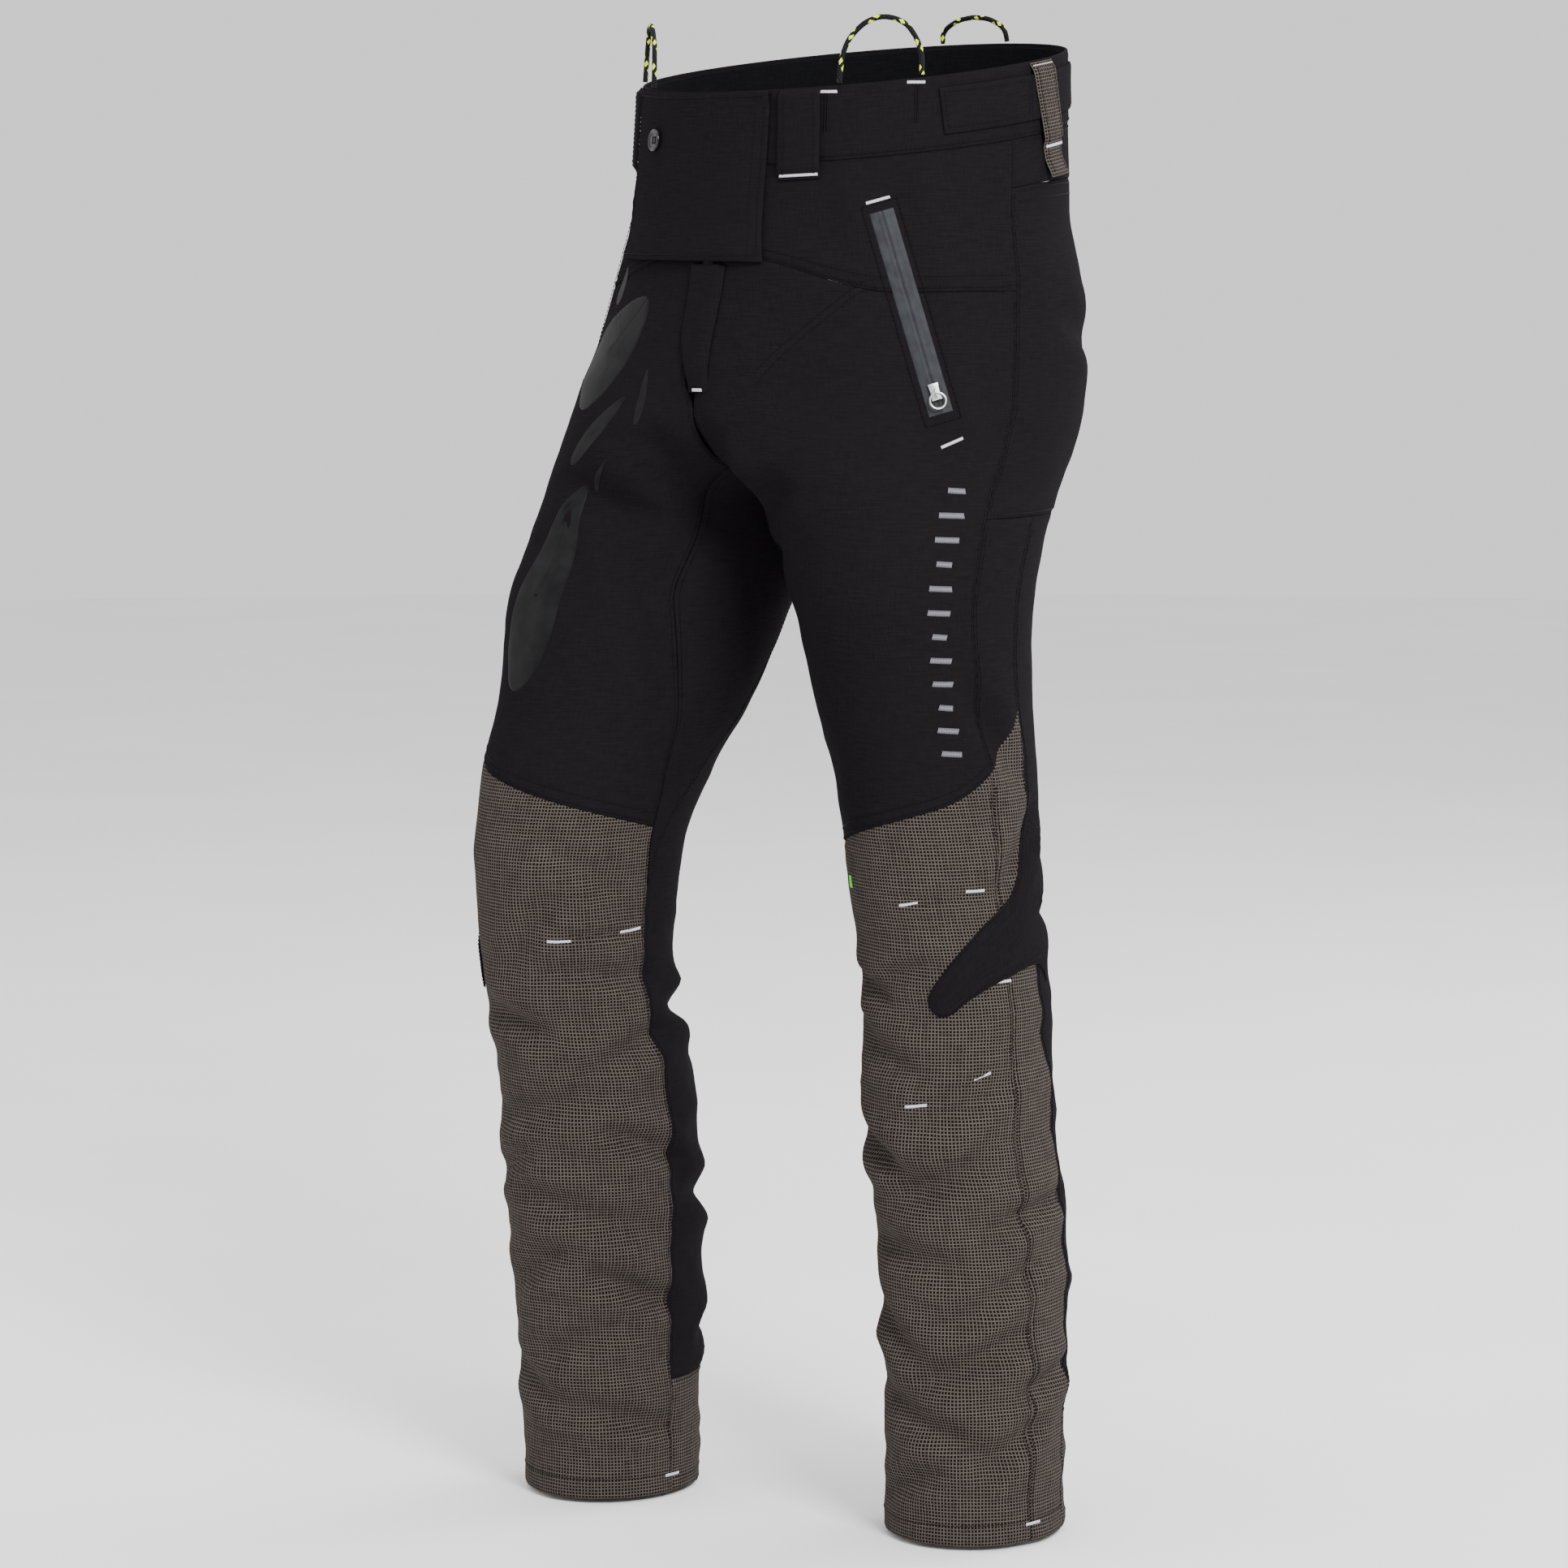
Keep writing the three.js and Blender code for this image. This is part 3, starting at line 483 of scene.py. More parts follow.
def arc_table(side):
    """Running length of the cloth round the leg and down it, for a cloth pattern that keeps its size."""
    points = on_skin(side, ARC_ANGLES[None, :], ARC_HEIGHTS[:, None])
    around = np.linalg.norm(np.diff(points, axis=1), axis=-1).cumsum(1)
    down = np.linalg.norm(np.diff(points, axis=0), axis=-1).cumsum(0)
    return np.pad(around, ((0, 0), (1, 0))), np.pad(down, ((1, 0), (0, 0)))


ARCS = {side: arc_table(side) for _, side in SIDES}


def read_table(table, angle, z):
    i = np.clip((np.asarray(angle) - ARC_ANGLES[0]), 0, len(ARC_ANGLES) - 1.001)
    j = np.clip((ARC_HEIGHTS[0] - np.asarray(z)) / 0.005, 0, len(ARC_HEIGHTS) - 1.001)
    i0, j0 = i.astype(int), j.astype(int)
    a, b = i - i0, j - j0
    upper = mix(table[j0, i0], table[j0, i0 + 1], a)
    lower = mix(table[j0 + 1, i0], table[j0 + 1, i0 + 1], a)
    return mix(upper, lower, b)


def cloth_uv(side, angle, z, centre):
    """Where a point lies on the flat cloth, with the straight grain running down through centre."""
    around, down = ARCS[side]
    middle = np.full(np.shape(angle), float(centre))
    u = read_table(around, angle, z) - read_table(around, middle, z)
    return np.stack([u, -read_table(down, middle, z)], -1)


def new_piece(name, points, faces, finish, uv=None):
    """An object from arrays, turned so that its faces look outward."""
    points = np.asarray(points, float)
    faces = np.asarray(faces, int)
    corners = points[faces]
    volume = (np.cross(corners[:, 0], corners[:, 1]) * corners[:, 2]).sum()
    volume += (np.cross(corners[:, 0], corners[:, 2]) * corners[:, -1]).sum()
    if volume < 0:
        faces = faces[:, ::-1]
    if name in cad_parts:
        name += "_detail"
    mesh = bpy.data.meshes.new(name)
    mesh.from_pydata(points.tolist(), [], faces.tolist())
    if uv is not None:
        layer = mesh.uv_layers.new(name="UVMap")
        layer.data.foreach_set("uv", np.asarray(uv, np.float32)[faces.reshape(-1)].reshape(-1))
    mesh.shade_smooth()
    mesh.materials.append(material(finish))
    piece = bpy.data.objects.new(name, mesh)
    bpy.context.scene.collection.objects.link(piece)
    return piece


def settle(piece, body, nodes=()):
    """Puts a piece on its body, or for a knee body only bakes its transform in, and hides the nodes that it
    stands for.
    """
    if body.startswith("knee_"):
        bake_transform(piece)
    else:
        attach(piece, body)
    if nodes:
        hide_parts(*nodes)
    return piece


def spaced(length, pitch=GRID):
    """Shares from 0 to 1 along an edge, close together near both ends."""
    edge = np.array(EDGE_STEPS)
    if length < 4 * edge[-1]:
        return np.linspace(0, 1, 7)
    count = max(2, round((length - 2 * edge[-1]) / pitch))
    inner = np.linspace(edge[-1], length - edge[-1], count + 1)
    return np.concatenate([edge[:-1], inner, (length - edge[:-1])[::-1]]) / length


def closed_grid(rows, columns):
    """Faces of a closed thin piece between two grids of points."""
    half = rows * columns
    index = np.arange(half).reshape(rows, columns)
    a, b, c, d = index[:-1, :-1], index[1:, :-1], index[1:, 1:], index[:-1, 1:]
    outer = np.stack([a, b, c, d], -1).reshape(-1, 4)
    rim = np.concatenate([index[0, :], index[1:, -1], index[-1, -2::-1], index[-2:0:-1, 0]])
    after = np.roll(rim, -1)
    sides = np.stack([rim, after, after + half, rim + half], -1)
    return np.concatenate([outer, outer[:, ::-1] + half, sides])


def shell(name, surface, place, size, finish, lift=(-CLOTH, 0.0), uv=None, **options):
    """A closed thin piece of cloth; place(s, t) gives angle and height, size its rough width and height."""
    pitch = options.get("pitch", GRID)
    roll = options.get("roll", ROLL_DEPTH)
    s, t = np.meshgrid(spaced(size[0], pitch), spaced(size[1], pitch))
    across, down = place(s, t)
    from_edge = np.minimum(np.minimum(s, 1 - s) * size[0], np.minimum(t, 1 - t) * size[1])
    sunk = roll * np.exp(-((from_edge / ROLL_WIDTH) ** 2))
    run = s * size[0] + t * size[1]
    ripple = options.get("pucker", PUCKER) * np.sin(2 * math.pi * run / PUCKER_PITCH + 3 * np.sin(run * 61))
    raised = options["raised"](s, t) if "raised" in options else 0.0
    outer = surface(across, down, lift[1] + raised - sunk + ripple * np.exp(-((from_edge / PUCKER_WIDTH) ** 2)))
    inner = surface(across, down, lift[0] + raised)
    points = np.concatenate([outer.reshape(-1, 3), inner.reshape(-1, 3)])
    flat = uv(across, down) if uv else np.stack([s * size[0], -t * size[1]], -1)
    flat = np.concatenate([flat.reshape(-1, 2)] * 2)
    return new_piece(name, points, closed_grid(*s.shape), finish, flat)


def leg_surface(side):
    return lambda angle, z, lift: skin(side, angle, z, lift)


THREAD_SIDES = 6
THREAD_RINGS = ((-0.5, 0.35), (-0.36, 1.0), (0.36, 1.0), (0.5, 0.35))  # share of its length, of its radius
STITCH_PITCH = 0.0032
STITCH_LENGTH = 0.0026
STITCH_RADIUS = 0.00033
BAR_PITCH = 0.00042


def threads(name, centres, along, out, length, radius, finish, body):
    """Many short stitches in one piece, each a capsule that lies along its seam."""
    along = unit(along)
    out = unit(out - along * (out * along).sum(-1, keepdims=True))
    across = np.cross(along, out)
    turn = np.arange(THREAD_SIDES) * 2 * math.pi / THREAD_SIDES
    shape, uv = [], []
    for at, wide in THREAD_RINGS:
        for angle in turn:
            shape.append((at * length, radius * wide * math.cos(angle), radius * wide * math.sin(angle)))
            uv.append((angle * radius, at * length))
    shape = np.array(shape)
    points = (
        centres[:, None]
        + along[:, None] * shape[None, :, 0:1]
        + across[:, None] * shape[None, :, 1:2]
        + out[:, None] * shape[None, :, 2:3]
    )
    faces = []
    for ring in range(len(THREAD_RINGS) - 1):
        for i in range(THREAD_SIDES):
            j = (i + 1) % THREAD_SIDES
            low, high = ring * THREAD_SIDES, (ring + 1) * THREAD_SIDES
            faces.append((low + i, low + j, high + j, high + i))
    last = (len(THREAD_RINGS) - 1) * THREAD_SIDES
    faces += [(3, 2, 1, 0), (5, 4, 3, 0)]
    faces += [(last, last + 1, last + 2, last + 3), (last, last + 3, last + 4, last + 5)]
    count = len(shape)
    every = (np.array(faces)[None] + count * np.arange(len(centres))[:, None, None]).reshape(-1, 4)
    uv = np.tile(np.array(uv), (len(centres), 1))
    piece = new_piece(name, points.reshape(-1, 3), every, finish, uv)
    return settle(piece, body)


def along_line(surface, angle, z, pitch, lift):
    """Evenly spaced places on a line drawn on the cloth: centres, directions and normals."""
    points = surface(angle, z, lift)
    above = surface(angle, z, lift + 0.001)
    length = np.concatenate([[0], np.linalg.norm(np.diff(points, axis=0), axis=1).cumsum()])
    count = max(2, int(length[-1] / pitch))
    at = (np.arange(count) + 0.5) * length[-1] / count
    centres = np.stack([np.interp(at, length, points[:, k]) for k in range(3)], -1)
    tops = np.stack([np.interp(at, length, above[:, k]) for k in range(3)], -1)
    ahead = np.stack([np.interp(at + pitch / 2, length, points[:, k]) for k in range(3)], -1)
    behind = np.stack([np.interp(at - pitch / 2, length, points[:, k]) for k in range(3)], -1)
    return centres, ahead - behind, tops - centres


def stitch_rows(name, rows, body):
    """Rows of black stitches as one piece; each row is (surface, angles, heights, lift)."""
    found = [along_line(surface, angle, z, STITCH_PITCH, lift) for surface, angle, z, lift in rows]
    centres, along, out = (np.concatenate(parts) for parts in zip(*found))
    return threads(name, centres, along, out, STITCH_LENGTH, STITCH_RADIUS, "black_thread", body)


def bar_of_thread(surface, start, end, width, lift):
    """A dense bar of crosswise threads between two places on the cloth."""
    share = np.linspace(0, 1, 24)
    angle, z = mix(start[0], end[0], share), mix(start[1], end[1], share)
    centres, along, out = along_line(surface, angle, z, BAR_PITCH, lift)
    across = np.cross(unit(along), unit(out))
    lean = 0.16 * np.where(np.arange(len(centres)) % 2, 1, -1)[:, None]
    return centres, unit(across + lean * unit(along)) * width, out


def bars(name, places, body, finish="pale_thread", width=0.0022, radius=0.00034):
    """Bar tacks as one piece; each place is (surface, start, end, lift)."""
    found = [bar_of_thread(surface, start, end, width, lift) for surface, start, end, lift in places]
    centres, along, out = (np.concatenate(parts) for parts in zip(*found))
    return threads(name, centres, along, out, width, radius, finish, body)


def tube(name, path, radius, finish, sides=24, relief=None, closed=False):
    """A round tube along a path, with capped ends; relief(share round, length) scales its radius."""
    path = np.asarray(path, float)
    ahead = np.roll(path, -1, 0) - np.roll(path, 1, 0)
    if not closed:
        ahead[0], ahead[-1] = path[1] - path[0], path[-1] - path[-2]
    ahead = unit(ahead)
    normal = unit(np.cross(ahead[0], (0.31, 0.2, 0.93)))
    normals = []
    for direction in ahead:
        normal = unit(normal - direction * (normal @ direction))
        normals.append(normal)
    normals = np.array(normals)
    binormals = np.cross(ahead, normals)
    run = np.concatenate([[0], np.linalg.norm(np.diff(path, axis=0), axis=1).cumsum()])
    turn = np.arange(sides) / sides
    scale = relief(turn[None, :], run[:, None]) if relief else np.ones((len(path), sides))
    wide = radius * scale[..., None]
    a = 2 * math.pi * turn[None, :, None]
    points = path[:, None] + wide * (normals[:, None] * np.cos(a) + binormals[:, None] * np.sin(a))
    uv = np.stack(np.broadcast_arrays(turn[None, :] * 2 * math.pi * radius, run[:, None]), -1)
    index = np.arange(len(path) * sides).reshape(len(path), sides)
    rows = np.concatenate([index, index[:1]]) if closed else index
    low, high = rows[:-1], rows[1:]
    faces = np.stack([low, np.roll(low, -1, 1), np.roll(high, -1, 1), high], -1).reshape(-1, 4)
    points, uv = points.reshape(-1, 3), uv.reshape(-1, 2)
    if not closed:
        for ring in (index[0], index[-1]):
            middle = len(points)
            points = np.concatenate([points, points[ring].mean(0, keepdims=True)])
            uv = np.concatenate([uv, uv[ring].mean(0, keepdims=True)])
            around = ring if ring is index[0] else ring[::-1]
            cap = []
            for i in range(0, sides, 2):
                cap.append((around[i], middle, around[(i + 2) % sides], around[(i + 1) % sides]))
            faces = np.concatenate([faces, np.array(cap)])
    return new_piece(name, points, faces, finish, uv)


# ---- Materials --------------------------------------------------------------------------------
def plug(tree, socket, given):
    if isinstance(given, bpy.types.NodeSocket):
        tree.links.new(given, socket)
    elif given is not None:
        socket.default_value = given


def node(tree, kind, inputs=None, **settings):
    made = tree.nodes.new(kind)
    for key, setting in settings.items():
        setattr(made, key, setting)
    for key, given in (inputs or {}).items():
        plug(tree, made.inputs[key], given)
    return made


def maths(tree, operation, *given):
    made = tree.nodes.new("ShaderNodeMath")
    made.operation = operation
    for socket, item in zip(made.inputs, given):
        plug(tree, socket, item)
    return made.outputs[0]


def blend_colour(tree, share, low, high):
    made = node(tree, "ShaderNodeMix", data_type="RGBA")
    plug(tree, made.inputs[0], share)
    plug(tree, made.inputs[6], low)
    plug(tree, made.inputs[7], high)
    return made.outputs[2]


def ramp(tree, given, low, high, to_low=0.0, to_high=1.0):
    inputs = {"Value": given, "From Min": low, "From Max": high, "To Min": to_low, "To Max": to_high}
    return node(tree, "ShaderNodeMapRange", inputs, interpolation_type="SMOOTHSTEP").outputs[0]


def noise(tree, place, scale, detail=2.0, rough=0.5):
    inputs = {"Vector": place, "Scale": scale, "Detail": detail, "Roughness": rough}
    return node(tree, "ShaderNodeTexNoise", inputs).outputs["Fac"]


def vector_maths(tree, operation, inputs):
    return node(tree, "ShaderNodeVectorMath", inputs, operation=operation).outputs[0]


def scaled(tree, place, across, down):
    return vector_maths(tree, "MULTIPLY", {0: place, 1: (across, down, 1.0)})


def object_place(tree):
    return node(tree, "ShaderNodeTexCoord").outputs["Object"]


def opaque(colour, scale=1.0, lift=0.0):
    return tuple(scale * c + lift for c in colour) + (1.0,)


def effect(name, inputs, outputs, build):
    """A shared shader node group; build(tree, given) returns its outputs by name."""
    found = bpy.data.node_groups.get(name)
    if found:
        return found
    tree = bpy.data.node_groups.new(name, "ShaderNodeTree")
    for label, kind, default in inputs:
        socket = tree.interface.new_socket(label, in_out="INPUT", socket_type=kind)
        if default is not None:
            socket.default_value = default
    for label in outputs:
        tree.interface.new_socket(label, in_out="OUTPUT", socket_type="NodeSocketFloat")
    given = tree.nodes.new("NodeGroupInput").outputs
    leave = tree.nodes.new("NodeGroupOutput")
    for label, socket in build(tree, given).items():
        tree.links.new(socket, leave.inputs[label])
    return tree


def use_effect(tree, group, **inputs):
    made = tree.nodes.new("ShaderNodeGroup")
    made.node_tree = group
    for key, given in inputs.items():
        plug(tree, made.inputs[key], given)
    return made.outputs


VECTOR, FLOAT = "NodeSocketVector", "NodeSocketFloat"
LOOK = "look_"  # sets these materials' names apart from those that come with the frame


def plain_weave():
    """Crossed yarns, over and under: their height and how uneven they are."""

    def build(tree, given):
        parts = node(tree, "ShaderNodeSeparateXYZ", {0: given["Place"]}).outputs
        yarns = []
        for axis, pitch in (("X", "Across"), ("Y", "Down")):
            count = maths(tree, "DIVIDE", parts[axis], given[pitch])
            yarns.append(maths(tree, "SINE", maths(tree, "MULTIPLY", count, 2 * math.pi)))
        height = maths(tree, "MULTIPLY_ADD", maths(tree, "MULTIPLY", *yarns), 0.5, 0.5)
        long_slub = noise(tree, scaled(tree, given["Place"], 60.0, 900.0), 1.0)
        short_slub = noise(tree, scaled(tree, given["Place"], 700.0, 110.0), 1.0)
        slub = maths(tree, "MULTIPLY_ADD", long_slub, 0.6, maths(tree, "MULTIPLY", short_slub, 0.4))
        return {"Height": height, "Slub": slub}

    inputs = (("Place", VECTOR, None), ("Across", FLOAT, 0.001), ("Down", FLOAT, 0.001))
    return effect("plain_weave", inputs, ("Height", "Slub"), build)


def thread_grid():
    """Thick light threads that cross in a grid on a darker ground."""

    def build(tree, given):
        waver = node(tree, "ShaderNodeTexNoise", {"Vector": given["Place"], "Scale": 190.0, "Detail": 2.0})
        centred = vector_maths(tree, "SUBTRACT", {0: waver.outputs["Color"], 1: (0.5, 0.5, 0.5)})
        shift = vector_maths(tree, "SCALE", {0: centred, "Scale": given["Waver"]})
        moved = vector_maths(tree, "ADD", {0: given["Place"], 1: shift})
        parts = node(tree, "ShaderNodeSeparateXYZ", {0: moved}).outputs
        lines = []
        for axis, uneven in (("X", (150.0, 22.0)), ("Y", (22.0, 150.0))):
            cell = maths(tree, "FRACT", maths(tree, "DIVIDE", parts[axis], given["Pitch"]))
            near = maths(tree, "MULTIPLY", maths(tree, "ABSOLUTE", maths(tree, "SUBTRACT", cell, 0.5)), 2.0)
            edge = maths(tree, "SUBTRACT", 1.0, given["Thread"])
            line = ramp(tree, maths(tree, "SUBTRACT", near, edge), -0.13, 0.13)
            patchy = noise(tree, scaled(tree, given["Place"], *uneven), 2.0, 3.0)
            lines.append(maths(tree, "MULTIPLY", line, ramp(tree, patchy, 0.25, 0.62, 0.55, 1.0)))
        most = maths(tree, "MAXIMUM", *lines)
        both = maths(tree, "MULTIPLY", *lines)
        height = maths(tree, "MULTIPLY_ADD", both, 0.35, maths(tree, "MULTIPLY", most, 0.65))
        return {"Line": most, "Height": height}

    inputs = (
        ("Place", VECTOR, None),
        ("Pitch", FLOAT, 0.0024),
        ("Thread", FLOAT, 0.4),
        ("Waver", FLOAT, 0.0005),
    )
    return effect("thread_grid", inputs, ("Line", "Height"), build)


def worn_patches():
    """Large soft patches, for uneven dye, rubbed cloth and dulled metal."""

    def build(tree, given):
        broad = noise(tree, given["Place"], given["Scale"], 3.0, 0.55)
        fine = noise(tree, given["Place"], maths(tree, "MULTIPLY", given["Scale"], 14.0), 2.0)
        return {"Mask": ramp(tree, broad, 0.3, 0.7), "Speckle": fine}

    inputs = (("Place", VECTOR, None), ("Scale", FLOAT, 18.0))
    return effect("worn_patches", inputs, ("Mask", "Speckle"), build)


def twisted_yarn():
    """The slanting strands of a twisted thread or a braided cord."""

    def build(tree, given):
        parts = node(tree, "ShaderNodeSeparateXYZ", {0: given["Place"]}).outputs
        around = maths(tree, "DIVIDE", parts["X"], given["Round"])
        down = maths(tree, "DIVIDE", parts["Y"], given["Lay"])
        strands = {}
        for label, operation in (("Strand", "ADD"), ("Cross", "SUBTRACT")):
            turn = maths(tree, "MULTIPLY", maths(tree, operation, around, down), 2 * math.pi)
            strands[label] = maths(tree, "MULTIPLY_ADD", maths(tree, "SINE", turn), 0.5, 0.5)
        return strands

    inputs = (("Place", VECTOR, None), ("Round", FLOAT, 0.002), ("Lay", FLOAT, 0.001))
    return effect("twisted_yarn", inputs, ("Strand", "Cross"), build)


def start_material(name, **shader):
    made = bpy.data.materials.new(LOOK + name)
    made.use_nodes = True
    tree = made.node_tree
    principled = tree.nodes["Principled BSDF"]
    for key, setting in shader.items():
        principled.inputs[key.replace("_", " ")].default_value = setting
    place = node(tree, "ShaderNodeUVMap", uv_map="UVMap").outputs[0]
    return made, tree, principled, place


def finish_material(tree, principled, colour, rough, height=None, distance=0.0003, strength=0.5):
    plug(tree, principled.inputs["Base Color"], colour)
    plug(tree, principled.inputs["Roughness"], rough)
    if height is not None:
        inputs = {"Height": height, "Strength": strength, "Distance": distance}
        normal = node(tree, "ShaderNodeBump", inputs).outputs[0]
        tree.links.new(normal, principled.inputs["Normal"])


def woven_cloth(name, across, down, low, high, worn, sheen=0.003):
    """A plain woven cloth with uneven yarns, painted shade darkening the gaps between the crossed yarns, and a
    little lighter where it is rubbed.
    """
    shader = {"Sheen_Weight": sheen, "Sheen_Roughness": 0.45, "Specular_IOR_Level": 0.008}
    made, tree, principled, place = start_material(name, **shader)
    weave = use_effect(tree, plain_weave(), Place=place, Across=across, Down=down)
    patches = use_effect(tree, worn_patches(), Place=object_place(tree), Scale=16.0)
    # painted shade: the weave's height darkens the colour in the gaps between the yarns, and the slub adds
    # random tone
    yarn = maths(tree, "MULTIPLY_ADD", weave["Slub"], 0.75, maths(tree, "MULTIPLY", weave["Height"], 0.35))
    cloth = blend_colour(tree, ramp(tree, yarn, 0.25, 0.85), low, high)
    colour = blend_colour(tree, maths(tree, "MULTIPLY", patches["Mask"], 0.35), cloth, worn)
    rough = maths(tree, "MULTIPLY_ADD", weave["Slub"], -0.12, 0.86)
    height = maths(tree, "MULTIPLY_ADD", weave["Slub"], 0.8, weave["Height"])
    finish_material(tree, principled, colour, rough, height, 0.00022, 0.55)
    return made


def stretch_cloth(name="stretch_cloth"):
    dark = tuple(bpy.context.scene.trouser_colours.cloth)
    # lighter is the colour of the yarns' raised tops; the dark colour is partly painted shade in the weave's
    # gaps and partly the darker slub
    lighter, rubbed = opaque(dark, 2.4, 0.0004), opaque(dark, 1.8, 0.0004)
    return woven_cloth(name, 0.0011, 0.0009, opaque(dark), lighter, rubbed)


def strap_cloth():
    return stretch_cloth("strap_cloth")


def lining_cloth():
    # low is partly painted shade in the weave's gaps and partly darker slub, high the yarns' tops, worn the
    # rubbed colour
    low, high, worn = (0.003, 0.003, 0.0034, 1), (0.009, 0.009, 0.010, 1), (0.006, 0.006, 0.007, 1)
    return woven_cloth("lining_mesh", 0.0018, 0.0018, low, high, worn)


def grid_cloth():
    """Dark abrasion cloth crossed by a grid of light brown-grey threads."""
    colours = bpy.context.scene.trouser_colours
    sizes = bpy.context.scene.trouser_sizes
    shader = {"Sheen_Weight": 0.004, "Sheen_Roughness": 0.5, "Specular_IOR_Level": 0.02}
    made, tree, principled, place = start_material("grid_cloth", **shader)
    grid = use_effect(tree, thread_grid(), Place=place, Pitch=sizes.grid_pitch, Thread=0.33, Waver=0.00075)
    weave = use_effect(tree, plain_weave(), Place=place, Across=0.0007, Down=0.0006)
    patches = use_effect(tree, worn_patches(), Place=object_place(tree), Scale=22.0)
    dull = opaque(colours.grid_thread, 0.74)
    thread = blend_colour(tree, weave["Slub"], dull, opaque(colours.grid_thread))
    thread = blend_colour(tree, maths(tree, "MULTIPLY", patches["Mask"], 0.35), thread, dull)
    colour = blend_colour(tree, grid["Line"], opaque(colours.grid_ground), thread)
    rough = maths(tree, "MULTIPLY_ADD", grid["Line"], -0.1, 0.88)
    height = maths(tree, "MULTIPLY_ADD", weave["Height"], 0.12, grid["Height"])
    finish_material(tree, principled, colour, rough, height, 0.00045, 0.7)
    return made


def thread_finish(name, colour, round_size=0.0021, lay=0.0011):
    made, tree, principled, place = start_material(name, Specular_IOR_Level=0.06)
    yarn = use_effect(tree, twisted_yarn(), Place=place, Round=round_size, Lay=lay)
    strand = ramp(tree, yarn["Strand"], 0.05, 0.6)
    # painted shade: the grooves between the twisted strands are painted darker than the thread's own colour
    shade = blend_colour(tree, strand, opaque(colour, 0.55), opaque(colour))
    rough = maths(tree, "MULTIPLY_ADD", yarn["Strand"], -0.2, 0.62)
    finish_material(tree, principled, shade, rough, yarn["Strand"], 0.00012)
    return made


def black_thread():
    return thread_finish("black_thread", (0.0050, 0.0042, 0.0054))


def pale_thread():
    return thread_finish("pale_thread", (0.66, 0.64, 0.72))


def grey_thread():
    return thread_finish("grey_thread", (0.20, 0.20, 0.225))


def bright_tab():
    return thread_finish("bright_tab", (0.10, 0.80, 0.03), 0.004, 0.002)


def shock_cord():
    """Black braided sheath, painted darker between its strands as painted shade, with bright tracers that wind
    round it.
    """
    made, tree, principled, place = start_material("shock_cord", Specular_IOR_Level=0.1)
    circle = math.pi * CORD_DIAMETER
    braid = use_effect(tree, twisted_yarn(), Place=place, Round=circle / BRAID_STRANDS, Lay=BRAID_LAY)
    tracer = use_effect(tree, twisted_yarn(), Place=place, Round=circle, Lay=0.0200)
    dash = use_effect(tree, twisted_yarn(), Place=place, Round=circle / 2, Lay=0.0085)
    winding = ramp(tree, tracer["Strand"], 0.74, 0.82)
    bright = maths(tree, "MULTIPLY", winding, ramp(tree, dash["Cross"], 0.45, 0.55))
    strand = maths(tree, "MULTIPLY", braid["Strand"], braid["Cross"])
    low, high = (0.003, 0.003, 0.0035, 1), (0.012, 0.012, 0.014, 1)
    # painted shade: the sheath is painted darker where the braid's strands dip between each other
    sheath = blend_colour(tree, ramp(tree, strand, 0.1, 0.7), low, high)
    colour = blend_colour(tree, bright, sheath, opaque(bpy.context.scene.trouser_colours.tracer))
    rough = maths(tree, "MULTIPLY_ADD", strand, -0.2, 0.7)
    finish_material(tree, principled, colour, rough, strand, 0.0002)
    return made


def zip_tape():
    """Grey rubber-coated tape with a fine grain and rubbed patches."""
    made, tree, principled, place = start_material("zip_tape", Specular_IOR_Level=0.12)
    patches = use_effect(tree, worn_patches(), Place=place, Scale=90.0)
    weave = use_effect(tree, plain_weave(), Place=place, Across=0.0009, Down=0.0007)
    colour = blend_colour(tree, patches["Mask"], (0.017, 0.018, 0.021, 1), (0.026, 0.028, 0.032, 1))
    rough = maths(tree, "MULTIPLY_ADD", patches["Speckle"], 0.22, 0.40)
    height = maths(tree, "MULTIPLY_ADD", weave["Height"], 0.3, patches["Speckle"])
    finish_material(tree, principled, colour, rough, height, 0.00008)
    return made


def printed_rubber():
    """Thin charcoal rubber print, smoother than the cloth round it."""
    made, tree, principled, place = start_material("printed_rubber", Specular_IOR_Level=0.05)
    patches = use_effect(tree, worn_patches(), Place=place, Scale=45.0)
    weave = use_effect(tree, plain_weave(), Place=place, Across=0.0011, Down=0.0009)
    colour = blend_colour(tree, patches["Mask"], (0.0058, 0.0058, 0.0064, 1), (0.0105, 0.0105, 0.0112, 1))
    rough = maths(tree, "MULTIPLY_ADD", patches["Speckle"], 0.16, 0.42)
    finish_material(tree, principled, colour, rough, weave["Height"], 0.00006)
    return made


def bright_metal():
    made, tree, principled, _ = start_material("bright_metal", Metallic=1.0)
    patches = use_effect(tree, worn_patches(), Place=object_place(tree), Scale=260.0)
    colour = blend_colour(tree, patches["Mask"], (0.50, 0.50, 0.51, 1), (0.68, 0.68, 0.69, 1))
    rough = maths(tree, "MULTIPLY_ADD", patches["Speckle"], 0.25, 0.16)
    finish_material(tree, principled, colour, rough, patches["Speckle"], 0.00003)
    return made


def button_resin():
    shader = {"Coat_Weight": 0.15, "Coat_Roughness": 0.12, "Specular_IOR_Level": 0.3}
    made, tree, principled, _ = start_material("button_plastic", **shader)
    patches = use_effect(tree, worn_patches(), Place=object_place(tree), Scale=320.0)
    colour = blend_colour(tree, patches["Mask"], (0.006, 0.006, 0.007, 1), (0.014, 0.014, 0.016, 1))
    rough = maths(tree, "MULTIPLY_ADD", patches["Speckle"], 0.2, 0.14)
    finish_material(tree, principled, colour, rough, patches["Speckle"], 0.00003)
    return made


